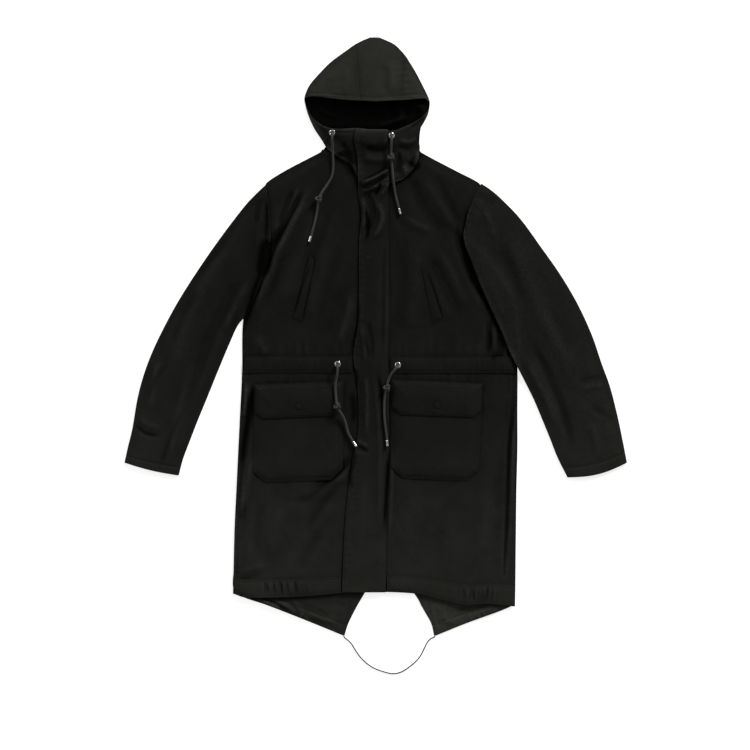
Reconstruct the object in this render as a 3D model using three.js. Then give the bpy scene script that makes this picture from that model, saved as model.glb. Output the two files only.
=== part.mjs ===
// A hooded fishtail parka that lies on its back on a flat surface, front up and fastened.
// Lengths are millimetres. X runs across the coat to the wearer's left, Y runs up it to the
// hood, and Z points off the surface. The origin is on the surface, under the coat's middle.
import * as THREE from "three";

const { clamp, lerp } = THREE.MathUtils;

// Cloth and clearances
const CLOTH = 2; // one layer of lined cotton canvas
const STRIP = 1.4; // casings and welts
const SEAM = 0.3; // between two pieces that are sewn or lie together
const BODY_LOFT = 2.6; // air between front and back in the middle of the coat
const EDGE_ROLL = 42; // how far in from a side that air is full
const EDGE_FLAT = 14; // folds start this far in from a side

// A sleeve: the radius of the fold along its two edges, the air in it, how far from an edge
// that air and the creases are full, and how much of a crease its inner face follows
const SLEEVE = { roll: 2.4, loft: 1.2, fullAt: 30, creasedAt: 26, doubled: 0.65, sections: 15 };

// The hood's two edges at the face opening: how far the lower and the upper one rise over the
// layer below, how fast that fades towards the sides, and how steeply the crown climbs to it
const LIP = { rise: 7, fade: 60 };
const BRIM = { rise: 17, fade: 0.8, climb: 1.3 };

// Levels along the coat
const CROWN_Y = 628;
const BRIM_Y = 493;
const NECK_Y = 388;
const HEM_Y = -536;
const TAIL_Y = -628;
const HEM_CURVE_Y = -450; // below this the fronts' levels follow the hem's curve
const VENT_Y = -422; // where the two tails part
const BACK_SEAM = { neckX: -10, ventX: 31 };

// The tails' drawn hem: small waves across each, so high, below this level
const TAIL_WAVES = { count: 3, rise: 3.5, from: -548, fade: 22 };

// Fittings
const CORD = 5; // drawcords of hood and waist
const TAIL_CORD = 2.5;
const EYELET = { hole: 3.2, rim: 6.6, height: 1.6 };
const KNOT = { play: 0.5, thick: 4.4, length: 11 };
const TIP = { radius: 2.8, length: 13 };
const CORD_FACETS = { around: 8, every: 10, tailEvery: 7 }; // sides, and steps along a cord

// The coat's two sides at each level: right and left are the wearer's.
const BODY = [
  { y: 388, right: -113, left: 93 },
  { y: 372, right: -144, left: 122 },
  { y: 346, right: -193, left: 172 },
  { y: 322, right: -229, left: 217 },
  { y: 306, right: -236, left: 226 },
  { y: 275, right: -234, left: 214 },
  { y: 233, right: -239, left: 203 },
  { y: 183, right: -244, left: 216 },
  { y: 130, right: -258, left: 252 },
  { y: 78, right: -271, left: 283 },
  { y: 19, right: -279, left: 293 },
  { y: -70, right: -280, left: 298 },
  { y: -157, right: -284, left: 298 },
  { y: -237, right: -288, left: 298 },
  { y: -321, right: -292, left: 296 },
  { y: -405, right: -296, left: 295 },
  { y: -489, right: -298, left: 294 },
  { y: -531, right: -299, left: 293 },
];

// The inner edge of each front: the neck's curve, then the zip line under the placket.
const FRONT_EDGE = [
  { y: 388, right: -100, left: 82 },
  { y: 372, right: -70, left: 74 },
  { y: 354, right: -46, left: 62 },
  { y: 338, right: -32, left: 44 },
  { y: 324, right: -24, left: 16 },
  { y: 312, right: -17, left: -9 },
  { y: 300, right: -14, left: -13 },
  { y: 285, right: -14, left: -13 },
  { y: HEM_Y, right: -14, left: -13 },
];

// How far each front's hem hangs below HEM_Y.
const HEM_DROP = [
  { x: -299, drop: 4 },
  { x: -272, drop: 12 },
  { x: -157, drop: 10 },
  { x: -72, drop: 3 },
  { x: -14, drop: 0 },
  { x: 86, drop: 4 },
  { x: 137, drop: 16 },
  { x: 190, drop: 28 },
  { x: 231, drop: 25 },
  { x: 293, drop: 31 },
];

// The back's halves below the front's hem: outer is a tail's sloping hem, inner its vent edge.
const RIGHT_TAIL = [
  { y: -489, outer: -298, inner: 1 },
  { y: -531, outer: -298, inner: -18 },
  { y: -546, outer: -281, inner: -27 },
  { y: -565, outer: -226, inner: -38 },
  { y: -603, outer: -129, inner: -57 },
  { y: TAIL_Y, outer: -68, inner: -65 },
];
const LEFT_TAIL = [
  { y: -489, outer: 294, inner: 58 },
  { y: -531, outer: 293, inner: 76 },
  { y: -553, outer: 291, inner: 90 },
  { y: -567, outer: 284, inner: 97 },
  { y: -603, outer: 189, inner: 117 },
  { y: TAIL_Y, outer: 127, inner: 123 },
];

// The hood's outline, from its crown down to the neck seam.
const HOOD = [
  { y: CROWN_Y, right: -12, left: 8 },
  { y: 615, right: -40, left: 37 },
  { y: 602, right: -59, left: 52 },
  { y: 577, right: -93, left: 71 },
  { y: 552, right: -118, left: 86 },
  { y: 527, right: -139, left: 99 },
  { y: 502, right: -149, left: 111 },
  { y: 489, right: -148, left: 114 },
  { y: 464, right: -141, left: 109 },
  { y: 439, right: -130, left: 94 },
  { y: 426, right: -122, left: 89 },
  { y: 410, right: -109, left: 91 },
  { y: 400, right: -104, left: 93 },
  { y: NECK_Y + SEAM, right: -113, left: 93 },
];

// The crown's outer edge and the brim below it, row by row from the wearer's right to left.
const CROWN = [
  { edgeX: -148, edgeY: 500, brimX: -146, brimY: 502 },
  { edgeX: -144, edgeY: 517, brimX: -134, brimY: 503 },
  { edgeX: -136, edgeY: 530, brimX: -117, brimY: 502 },
  { edgeX: -117, edgeY: 552, brimX: -95, brimY: 499 },
  { edgeX: -92, edgeY: 577, brimX: -70, brimY: 496 },
  { edgeX: -59, edgeY: 601, brimX: -44, brimY: 494 },
  { edgeX: -32, edgeY: 619, brimX: -23, brimY: 493 },
  { edgeX: -4, edgeY: CROWN_Y, brimX: -2, brimY: 492 },
  { edgeX: 24, edgeY: 621, brimX: 19, brimY: 493 },
  { edgeX: 48, edgeY: 605, brimX: 40, brimY: 494 },
  { edgeX: 66, edgeY: 585, brimX: 59, brimY: 495 },
  { edgeX: 82, edgeY: 556, brimX: 78, brimY: 497 },
  { edgeX: 97, edgeY: 527, brimX: 94, brimY: 498 },
  { edgeX: 107, edgeY: 509, brimX: 105, brimY: 498 },
  { edgeX: 113, edgeY: 492, brimX: 111, brimY: 494 },
];

// The seams across the crown part its front into three pieces.
const HOOD_UPPER = [
  { name: "hood_upper_right", from: 0, to: 0.4, columns: 7 },
  { name: "hood_centre", from: 0.402, to: 0.69, columns: 4 },
  { name: "hood_upper_left", from: 0.692, to: 1, columns: 6 },
];

// The hood's lower front on each side: lip is the face opening's lower edge, base the hood's
// outline and then the neck seam.
const HOOD_LOWER_RIGHT = [
  { lipX: -146, lipY: 487, baseX: -147, baseY: 490 },
  { lipX: -139, lipY: 470, baseX: -143, baseY: 473 },
  { lipX: -128, lipY: 455, baseX: -136, baseY: 453 },
  { lipX: -113, lipY: 444, baseX: -125, baseY: 431 },
  { lipX: -95, lipY: 437, baseX: -112, baseY: 411 },
  { lipX: -76, lipY: 435, baseX: -101, baseY: 394 },
  { lipX: -59, lipY: 436, baseX: -78, baseY: 376 },
  { lipX: -44, lipY: 437, baseX: -55, baseY: 361 },
  { lipX: -28, lipY: 436, baseX: -38, baseY: 336 },
  { lipX: -13.3, lipY: 434, baseX: -13.3, baseY: 316 },
];
const HOOD_LOWER_LEFT = [
  { lipX: -13, lipY: 434, baseX: -13, baseY: 316 },
  { lipX: 6, lipY: 432, baseX: 15, baseY: 318 },
  { lipX: 27, lipY: 431, baseX: 42, baseY: 324 },
  { lipX: 44, lipY: 433, baseX: 61, baseY: 332 },
  { lipX: 61, lipY: 440, baseX: 78, baseY: 350 },
  { lipX: 78, lipY: 448, baseX: 90, baseY: 372 },
  { lipX: 91, lipY: 456, baseX: 92, baseY: 392 },
  { lipX: 100, lipY: 463, baseX: 90, baseY: 411 },
  { lipX: 106, lipY: 469, baseX: 90, baseY: 429 },
  { lipX: 110, lipY: 475, baseX: 101, baseY: 448 },
  { lipX: 112, lipY: 481, baseX: 110, baseY: 466 },
  { lipX: 113, lipY: 486, baseX: 113, baseY: 484 },
];

// The placket's edges, from the lip of the face opening to the hem.
const PLACKET = [
  { y: 434, right: -40, left: 26 },
  { y: 420, right: -45, left: 25 },
  { y: 399, right: -43, left: 26 },
  { y: 380, right: -38, left: 27 },
  { y: 340, right: -37, left: 28 },
  { y: 300, right: -36, left: 28 },
  { y: 256, right: -30, left: 28 },
  { y: 200, right: -34, left: 28 },
  { y: 78, right: -35, left: 30 },
  { y: 15, right: -38, left: 30 },
  { y: -17, right: -44, left: 28 },
  { y: -48, right: -46, left: 26 },
  { y: -80, right: -41, left: 27 },
  { y: -132, right: -36, left: 28 },
  { y: -195, right: -36, left: 28 },
  { y: -227, right: -41, left: 28 },
  { y: -258, right: -48, left: 27 },
  { y: -342, right: -59, left: 25 },
  { y: -426, right: -66, left: 23 },
  { y: HEM_Y - 1, right: -70, left: 21 },
];

const PLACKET_FORM = 1; // how far its middle stands over its edges
const PLACKET_FOLDS = [
  { path: [[-26, 318], [0, 345], [30, 362]], width: 7, lift: 4 },
  { path: [[-44, 250], [-30, 256], [-16, 250]], width: 14, lift: 3 },
  { path: [[-50, 10], [-42, -30], [-48, -75]], width: 10, lift: 3 },
];

// Sleeve sections from armhole to cuff: outer and inner are the two folded edges, and bow is
// how far the section swings up the arm halfway between them.
const RIGHT_SLEEVE = [
  { outerX: -231, outerY: 318, innerX: -226, innerY: 158, bow: 9 },
  { outerX: -252, outerY: 298, innerX: -233, innerY: 138, bow: 8 },
  { outerX: -277, outerY: 271, innerX: -240, innerY: 118, bow: 4 },
  { outerX: -325, outerY: 208, innerX: -253, innerY: 83, bow: 0 },
  { outerX: -369, outerY: 145, innerX: -270, innerY: 46, bow: 0 },
  { outerX: -410, outerY: 81, innerX: -289, innerY: 23, bow: 0 },
  { outerX: -441, outerY: 25, innerX: -309, innerY: -21, bow: 0 },
  { outerX: -468, outerY: -31, innerX: -332, innerY: -76, bow: 0 },
  { outerX: -487, outerY: -82, innerX: -353, innerY: -128, bow: 0 },
  { outerX: -500, outerY: -132, innerX: -372, innerY: -174, bow: 0 },
  { outerX: -510, outerY: -191, innerX: -391, innerY: -223, bow: 0 },
  { outerX: -520, outerY: -233, innerX: -404, innerY: -258, bow: -2 },
  { outerX: -527, outerY: -265, innerX: -413, innerY: -292, bow: -3 },
];
const LEFT_SLEEVE = [
  { outerX: 222, outerY: 321, innerX: 184, innerY: 212, bow: 6 },
  { outerX: 243, outerY: 307, innerX: 188, innerY: 192, bow: 6 },
  { outerX: 266, outerY: 287, innerX: 196, innerY: 170, bow: 3 },
  { outerX: 305, outerY: 246, innerX: 216, innerY: 118, bow: 0 },
  { outerX: 348, outerY: 187, innerX: 239, innerY: 65, bow: 0 },
  { outerX: 388, outerY: 130, innerX: 263, innerY: 13, bow: 0 },
  { outerX: 424, outerY: 69, innerX: 284, innerY: -38, bow: 0 },
  { outerX: 454, outerY: 4, innerX: 309, innerY: -86, bow: 0 },
  { outerX: 475, outerY: -57, innerX: 332, innerY: -132, bow: 0 },
  { outerX: 493, outerY: -107, innerX: 349, innerY: -172, bow: 0 },
  { outerX: 508, outerY: -166, innerX: 367, innerY: -216, bow: -2 },
  { outerX: 519, outerY: -218, innerX: 382, innerY: -254, bow: -6 },
  { outerX: 528, outerY: -265, innerX: 403, innerY: -296, bow: -9 },
];

// The main folds of the cloth: a ridge of this lift and half width along each path.
const BODY_FOLDS = [
  { path: [[-143, 317], [-172, 246], [-195, 197], [-214, 166], [-224, 134], [-244, 76]], width: 13, lift: 8 },
  { path: [[-178, 322], [-197, 267], [-210, 218]], width: 12, lift: 5 },
  { path: [[-46, 84], [-52, 30], [-62, -20]], width: 15, lift: 4 },
  { path: [[-262, -100], [-271, -195], [-277, -300], [-285, -430]], width: 14, lift: 5 },
  { path: [[-60, -238], [-92, -290], [-140, -340], [-190, -385]], width: 20, lift: 5 },
  { path: [[-76, -318], [-130, -390], [-200, -450]], width: 24, lift: 3 },
  { path: [[107, 334], [128, 280], [153, 232]], width: 17, lift: 5 },
  { path: [[168, 309], [178, 262], [183, 224]], width: 14, lift: 4 },
  { path: [[150, 228], [170, 180], [191, 132], [216, 80], [236, 28]], width: 15, lift: 6 },
  { path: [[252, 2], [252, -44], [250, -78]], width: 12, lift: 4 },
  { path: [[262, -100], [258, -280], [262, -470]], width: 20, lift: 3 },
  { path: [[60, 230], [72, 100], [66, -20]], width: 24, lift: 2.5 },
];
const RIGHT_SLEEVE_FOLDS = [
  { path: [[-268, 232], [-330, 120], [-378, 10], [-420, -110]], width: 34, lift: 2.9 },
  { path: [[-455, -40], [-466, -130], [-462, -220]], width: 24, lift: 2.4 },
  { path: [[-300, 60], [-345, -40], [-380, -130]], width: 18, lift: 2.9 },
];
const LEFT_SLEEVE_FOLDS = [
  { path: [[262, 230], [330, 110], [385, 0], [425, -100]], width: 36, lift: 2.9 },
  { path: [[352, -18], [388, -100], [404, -190], [412, -260]], width: 17, lift: 2.9 },
  { path: [[430, 30], [468, -80], [484, -190]], width: 26, lift: 2.9 },
];

// Casings for the drawcords of waist and hem. Right and left are edges in X, top and bottom
// edges in Y.
const CASING_RISE = 1;
const WAIST_CASINGS = [
  { name: "waist_casing_right", right: -276, left: -48, top: -41, bottom: -76 },
  { name: "waist_casing_left", right: 32, left: 294, top: -42, bottom: -77 },
];
const HEM_CASING = 34;
const GATHER = 14; // from one gather of the hem to the next
const GATHER_RISE = 2.4;
const HEM_CASINGS = [
  { name: "hem_casing_right", right: -296, left: -72, gatheredFrom: -242, gatheredTo: -130 },
  { name: "hem_casing_left", right: 24, left: 291, gatheredFrom: 176, gatheredTo: 260 },
];

// Patch pockets with flaps on the skirt, and welts on the chest
const POCKET = { length: 208, corner: 24, margin: 0, full: 3.4, fullAt: 26 };
const FLAP = { length: 72, corner: 16, margin: 3, full: 0.6, fullAt: 26 };
const POCKETS = [
  { name: "pocket_right", right: -256, left: -66, top: -96, narrow: 3, tilt: 0.04 },
  { name: "pocket_left", right: 32, left: 226, top: -93, narrow: 10, tilt: -0.04 },
];
const FLAPS = POCKETS.map((pocket) => {
  return { ...pocket, name: pocket.name.replace("pocket", "flap"), narrow: 0 };
});
const WELT = { top: 9, bottom: 20 };
const WELTS = [
  { name: "welt_right", topX: -133, topY: 166, bottomX: -163, bottomY: 35, slant: -10 },
  { name: "welt_left", topX: 101, topY: 152, bottomX: 130, bottomY: 33, slant: 10 },
];

// Eyelets stand on the hood's lower front and on the waist casings.
const EYELETS = [
  { name: "eyelet_hood_right", x: -91, y: 427 },
  { name: "eyelet_hood_left", x: 34, y: 421 },
  { name: "eyelet_waist_right", x: -79, y: -58 },
  { name: "eyelet_waist_left", x: 47, y: -60 },
];

// The drawcords' middle lines, from eyelet to tip: each leaves its eyelet upwards, falls over
// and lies on the coat. The knot is at the named point of the route.
const CORDS = [
  {
    name: "hood_right",
    knot: 11,
    route: [
      [-91, 427, 12.5],
      [-91, 426.5, 17],
      [-91, 423, 21.5],
      [-91, 415, 23.5],
      [-90.5, 404, 19.5],
      [-90, 391, 14.5],
      [-89, 375, 11.9],
      [-89, 350, 10.4],
      [-93, 333, 9.8],
      [-102, 317, 10.2],
      [-112, 302, 12.8],
      [-119, 288, 14.8],
      [-121, 274, 13],
      [-124, 256, 9.9],
      [-129.6, 231, 9.8],
      [-135.2, 211, 9.9],
    ],
  },
  {
    name: "hood_left",
    knot: 6,
    route: [
      [34, 421, 17.4],
      [34, 420.5, 21.5],
      [34, 417, 26],
      [33.5, 409, 28.6],
      [33, 399, 27],
      [32.5, 388, 23.2],
      [33, 376, 20.8],
      [34.3, 362, 17],
      [36, 345, 15.8],
      [37.3, 329, 16.4],
      [39.3, 313, 12.5],
      [41.8, 298, 10],
      [45.3, 283, 9.8],
      [49.3, 269, 9.8],
    ],
  },
  {
    name: "waist_right",
    knot: 10,
    route: [
      [-79, -58, 13.2],
      [-79, -58.5, 17.5],
      [-79.5, -62, 22],
      [-79.5, -70, 24.4],
      [-80.5, -81, 22.5],
      [-83, -93, 19.6],
      [-84.2, -106, 18.4],
      [-83.5, -118, 19],
      [-82.5, -130, 21],
      [-81.5, -138, 22.6],
      [-80, -146, 22.9],
      [-76, -155, 21.4],
      [-68.5, -167, 16.6],
      [-62.8, -181, 13.6],
      [-60, -192, 11.5],
      [-56.5, -204, 11],
      [-50.5, -214.5, 11.3],
      [-47, -220, 11.7],
    ],
  },
  {
    name: "waist_left",
    knot: 8,
    route: [
      [47, -60, 13.2],
      [46.8, -60.5, 17.5],
      [45, -63, 22],
      [41, -69.5, 24.4],
      [34, -78, 22.8],
      [28.7, -87, 20.6],
      [25.8, -95, 19.8],
      [24.5, -101, 19.6],
      [24, -108, 19.4],
      [21.5, -117, 18],
      [19.3, -128, 15.6],
      [18.2, -140, 14.7],
      [18.2, -160, 14.6],
      [19.8, -182, 14.6],
      [22.2, -200, 14.7],
      [24, -217, 14.7],
    ],
  },
];

// The cord that joins the tails, flat on the surface.
const TAIL_CORD_ROUTE = [
  [-66.5, -628.6],
  [-65, -632],
  [-57, -638.5],
  [-50, -646],
  [-42, -659],
  [-32, -673],
  [-20, -685],
  [-4, -696],
  [17, -704],
  [37, -708],
  [55, -704],
  [72, -693],
  [86, -681],
  [96, -668],
  [103, -654],
  [109, -642],
  [116, -634.5],
  [123, -631.5],
  [125, -628.6],
];

const evenly = (count) => Array.from({ length: count + 1 }, (_, i) => i / count);

const smooth = (t) => clamp(t, 0, 1) ** 2 * (3 - 2 * clamp(t, 0, 1));

// A smooth curve through a table's rows: one named column at any value of the key column.
function curve(table, key, name) {
  const rows = [...table].sort((a, b) => a[key] - b[key]);
  const last = rows.length - 1;
  const slope = rows.map((row, i) => {
    const before = rows[Math.max(i - 1, 0)];
    const after = rows[Math.min(i + 1, last)];
    return (after[name] - before[name]) / (after[key] - before[key]);
  });
  return (at) => {
    const value = clamp(at, rows[0][key], rows[last][key]);
    const above = rows.findIndex((row) => row[key] > value);
    const index = above < 0 ? last - 1 : Math.max(above - 1, 0);
    const [a, b] = [rows[index], rows[index + 1]];
    const span = b[key] - a[key];
    const t = (value - a[key]) / span;
    return (
      a[name] * (1 + 2 * t) * (1 - t) ** 2 +
      b[name] * t * t * (3 - 2 * t) +
      span * (slope[index] * t * (1 - t) ** 2 - slope[index + 1] * t * t * (1 - t))
    );
  };
}

// Smooth curves through all columns of a table: the row at any place from its first, 0, to
// its last, 1.
function along(table) {
  const placed = table.map((row, i) => ({ ...row, place: i / (table.length - 1) }));
  const columns = Object.keys(table[0]).map((name) => [name, curve(placed, "place", name)]);
  return (t) => Object.fromEntries(columns.map(([name, at]) => [name, at(t)]));
}

// The height that a fold adds at a point: a soft ridge that fades out towards its ends.
function ridge({ path, width, lift }, x, y) {
  const lengths = path.slice(1).map(([bx, by], i) => Math.hypot(bx - path[i][0], by - path[i][1]));
  const whole = lengths.reduce((sum, length) => sum + length, 0);
  let nearest = Infinity;
  let place = 0;
  let passed = 0;
  lengths.forEach((length, i) => {
    const [ax, ay] = path[i];
    const [bx, by] = path[i + 1];
    const t = clamp(((x - ax) * (bx - ax) + (y - ay) * (by - ay)) / length ** 2, 0, 1);
    const away = Math.hypot(x - lerp(ax, bx, t), y - lerp(ay, by, t));
    if (away < nearest) {
      nearest = away;
      place = (passed + t * length) / whole;
    }
    passed += length;
  });
  const fade = smooth(place / 0.3) * smooth((1 - place) / 0.3);
  return lift * fade * Math.exp(-((nearest / width) ** 2));
}

const ridges = (folds, x, y) => folds.reduce((sum, fold) => sum + ridge(fold, x, y), 0);

const bodyRight = curve(BODY, "y", "right");
const bodyLeft = curve(BODY, "y", "left");
const hoodRight = curve(HOOD, "y", "right");
const hoodLeft = curve(HOOD, "y", "left");
const hemDrop = curve(HEM_DROP, "x", "drop");

// How far a point lies inside the coat's two sides, or inside the hood's above the neck
function inset(x, y) {
  const right = y > NECK_Y ? hoodRight(y) : bodyRight(y);
  const left = y > NECK_Y ? hoodLeft(y) : bodyLeft(y);
  return Math.min(x - right, left - x);
}

// What the coat's upper layer stands proud of the layer below: air in the middle, and folds
function fullness(x, y) {
  const edge = inset(x, y);
  return BODY_LOFT * smooth(edge / EDGE_ROLL) + smooth(edge / EDGE_FLAT) * ridges(BODY_FOLDS, x, y);
}

// The pile: the top of all pieces laid so far, on a grid of 1 mm squares
const PILE = { left: -560, bottom: -700, wide: 1120, deep: 1360, square: 1 };
const CLEAR_EVERY = 2.5; // how closely a piece is held clear of the pile
const NEARBY = 4;
const pile = new Float32Array(PILE.wide * PILE.deep);

function pileHeight(x, y) {
  const column = Math.round(x - PILE.left);
  const row = Math.round(y - PILE.bottom);
  let highest = 0;
  for (let j = row - 1; j <= row + 1; j++)
    for (let i = column - 1; i <= column + 1; i++)
      highest = Math.max(highest, pile[j * PILE.wide + i]);
  return highest;
}

// The height over a place at which a piece clears the pile, or lies on the bare surface
function clearHeight(x, y, least = 0) {
  const height = pileHeight(x, y);
  return Math.max(height > 0 ? height + SEAM : 0, least);
}

// Calls visit with the shares of a triangle's corners at places spread over it, so far apart
function spread([a, b, c], spacing, visit) {
  const side = (p, q) => Math.hypot(p[0] - q[0], p[1] - q[1]);
  const steps = Math.ceil(Math.max(side(a, b), side(b, c), side(c, a)) / spacing);
  for (let i = 0; i <= steps; i++)
    for (let j = 0; i + j <= steps; j++) visit(i / steps, j / steps, (steps - i - j) / steps);
}

// Adds a finished piece to the pile.
function pileUp(geometry) {
  const { array } = geometry.getAttribute("position");
  const index = geometry.index.array;
  for (let t = 0; t < index.length; t += 3) {
    const [a, b, c] = [0, 1, 2].map((n) => array.subarray(3 * index[t + n], 3 * index[t + n] + 3));
    const facesUp = (b[0] - a[0]) * (c[1] - a[1]) - (c[0] - a[0]) * (b[1] - a[1]) > 0;
    if (!facesUp) continue;
    spread([a, b, c], PILE.square, (p, q, r) => {
      const column = Math.round(p * a[0] + q * b[0] + r * c[0] - PILE.left);
      const row = Math.round(p * a[1] + q * b[1] + r * c[1] - PILE.bottom);
      const cell = row * PILE.wide + column;
      pile[cell] = Math.max(pile[cell], p * a[2] + q * b[2] + r * c[2]);
    });
  }
}

// The height that clears the pile anywhere near a place
function clearNearby(x, y, least) {
  const turns = evenly(8).map((t) => 2 * Math.PI * t);
  const ring = turns.map((a) => clearHeight(x + NEARBY * Math.cos(a), y + NEARBY * Math.sin(a), least));
  return Math.max(clearHeight(x, y, least), ...ring);
}

// Heights for a grid of places, so many to a row, at which a surface through them lies on the
// pile: each starts clear of it, and rises until no triangle of the surface cuts into it. What
// lies close to a corner counts first, so that the others rise no further than they must.
function restOnPile(places, wide, least) {
  const heights = places.map(([x, y]) => clearNearby(x, y, least));
  const rise = (i, j, k, nearness) => {
    const [a, b, c] = [places[i], places[j], places[k]];
    spread([a, b, c], CLEAR_EVERY, (p, q, r) => {
      if (Math.max(p, q, r) < nearness) return;
      const clear = clearHeight(p * a[0] + q * b[0] + r * c[0], p * a[1] + q * b[1] + r * c[1], least);
      const short = clear - (p * heights[i] + q * heights[j] + r * heights[k]);
      if (short <= 0) return;
      const weight = p * p + q * q + r * r;
      heights[i] += (short * p) / weight;
      heights[j] += (short * q) / weight;
      heights[k] += (short * r) / weight;
    });
  };
  for (const nearness of [0.7, 0])
    for (let n = 0; n + wide + 1 < places.length; n++) {
      if ((n + 1) % wide === 0) continue;
      rise(n, n + 1, n + wide + 1, nearness);
      rise(n, n + wide + 1, n + wide, nearness);
    }
  return heights;
}

// A closed mesh, with its faces turned outwards if they weren't
function closed(positions, triangles) {
  const [a, b, c] = [new THREE.Vector3(), new THREE.Vector3(), new THREE.Vector3()];
  let volume = 0;
  for (const [i, j, k] of triangles) {
    a.fromArray(positions[i]);
    volume += a.dot(b.fromArray(positions[j]).cross(c.fromArray(positions[k])));
  }
  const facing = volume < 0 ? triangles.map(([i, j, k]) => [i, k, j]) : triangles;
  const geometry = new THREE.BufferGeometry();
  geometry.setAttribute("position", new THREE.Float32BufferAttribute(positions.flat(), 3));
  geometry.setIndex(facing.flat());
  return geometry;
}

// A wall of cloth that lies on the pile. plan(u, v) gives a place in X and Y, with u and v
// from 0 to 1, and form(x, y, u, v) what the wall stands proud there. us and vs list the
// columns and rows, and least is the lowest that its underside may hang.
function clothWall({ plan, form = () => 0, us, vs, thickness = CLOTH, least = 0 }) {
  const wide = us.length;
  const size = wide * vs.length;
  const params = vs.flatMap((v) => us.map((u) => [u, v]));
  const places = params.map(([u, v]) => plan(u, v));
  const heights = restOnPile(places, wide, least);
  const lower = places.map(([x, y], n) => [x, y, heights[n] + form(x, y, ...params[n])]);
  const upper = lower.map(([x, y, z]) => [x, y, z + thickness]);
  const triangles = [];
  const quad = (a, b, c, d) => triangles.push([a, b, c], [a, c, d]);
  for (let n = 0; n + wide + 1 < size; n++) {
    if ((n + 1) % wide === 0) continue;
    quad(n, n + 1, n + wide + 1, n + wide);
    quad(size + n, size + n + wide, size + n + wide + 1, size + n + 1);
  }
  const rim = [
    ...us.map((_, i) => i),
    ...vs.slice(1).map((_, j) => (j + 2) * wide - 1),
    ...us.slice(1).map((_, i) => size - 2 - i),
    ...vs.slice(2).map((_, j) => size - (j + 2) * wide),
  ];
  rim.forEach((a, n) => {
    const b = rim[(n + 1) % rim.length];
    quad(a, size + a, size + b, b);
  });
  return closed([...upper, ...lower], triangles);
}

// Values from one end to the other, both included, about so far apart
function levels(from, to, spacing) {
  const count = Math.max(1, Math.round(Math.abs(to - from) / spacing));
  return Array.from({ length: count + 1 }, (_, i) => lerp(from, to, i / count));
}

// A list's values as shares of the way from its first to its last
const shares = (list) => list.map((value) => (value - list[0]) / (list[list.length - 1] - list[0]));

const part = new THREE.Group();

const FINISHES = {
  canvas: new THREE.MeshStandardMaterial({ color: 0x1e1e1c, roughness: 0.9, metalness: 0 }),
  lining: new THREE.MeshStandardMaterial({ color: 0x0b0b0a, roughness: 0.8, metalness: 0 }),
  cord: new THREE.MeshStandardMaterial({ color: 0x2c2c2a, roughness: 0.8, metalness: 0 }),
  nickel: new THREE.MeshStandardMaterial({ color: 0xd8d8d6, roughness: 0.25, metalness: 1 }),
};

function add(name, geometry, finish = "canvas") {
  const mesh = new THREE.Mesh(geometry, FINISHES[finish]);
  mesh.name = name;
  part.add(mesh);
}

// Lays pieces on the pile that lie beside each other, not on each other.
function lay(pieces, finish) {
  for (const [name, geometry] of Object.entries(pieces)) add(name, geometry, finish);
  Object.values(pieces).forEach(pileUp);
}

// One piece for each row of a table, by its name
const each = (rows, make) => Object.fromEntries(rows.map((row) => [row.name, make(row)]));

// The back's two halves, sewn down the middle as far as the vent, and then the two tails
function backHalf(side) {
  const sign = side === "right" ? -1 : 1;
  const tail = side === "right" ? RIGHT_TAIL : LEFT_TAIL;
  const outerTail = curve(tail, "y", "outer");
  const innerTail = curve(tail, "y", "inner");
  const outerBody = side === "right" ? bodyRight : bodyLeft;
  const tailTop = tail[0].y;
  const top = NECK_Y - SEAM / 2;
  const middle = (y) => {
    const seam = lerp(BACK_SEAM.neckX, BACK_SEAM.ventX, (NECK_Y - y) / (NECK_Y - VENT_Y));
    return seam + (sign * SEAM) / 2;
  };
  const vent = (y) => lerp(middle(VENT_Y), tail[0].inner, (VENT_Y - y) / (VENT_Y - tailTop));
  const inner = (y) => (y > VENT_Y ? middle(y) : y > tailTop ? vent(y) : innerTail(y));
  const outer = (y) => (y > tailTop ? outerBody(y) : outerTail(y));
  // Rows are closest where the outline bends: at the shoulder and down the tail.
  const ys = [
    ...levels(top, 306, 27),
    ...levels(262, VENT_Y, 76),
    ...levels(-455, -531, 38),
    ...levels(-546, TAIL_Y, 16.4),
  ];
  return clothWall({
    us: evenly(TAIL_WAVES.count * 2),
    vs: shares(ys),
    plan: (u, v) => {
      const y = lerp(top, TAIL_Y, v);
      return [lerp(outer(y), inner(y), u), y];
    },
    form: (x, y, u) => {
      const { count, rise, from, fade } = TAIL_WAVES;
      const shows = smooth((from - y) / fade) * smooth((y - TAIL_Y) / fade);
      return rise * shows * (0.5 - 0.5 * Math.cos(count * 2 * Math.PI * u));
    },
  });
}

// One front, from shoulder and neck to the hem, between its side seam and the zip line
function front(side) {
  const outer = side === "right" ? bodyRight : bodyLeft;
  const inner = curve(FRONT_EDGE, "y", side);
  const top = NECK_Y - 1;
  const ys = [...levels(top, 306, 16), ...levels(280, HEM_Y, 30)];
  return clothWall({
    us: evenly(11),
    vs: shares(ys),
    least: CLOTH + SEAM,
    plan: (u, v) => {
      const level = lerp(top, HEM_Y, v);
      const x = lerp(outer(level), inner(level), u);
      return [x, hung(x, level)];
    },
    form: fullness,
  });
}

// A level on the fronts, lowered near the hem so that the last one follows the hem's curve
function hung(x, level) {
  return level - hemDrop(x) * smooth((level - HEM_CURVE_Y) / (HEM_Y - HEM_CURVE_Y));
}

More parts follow.
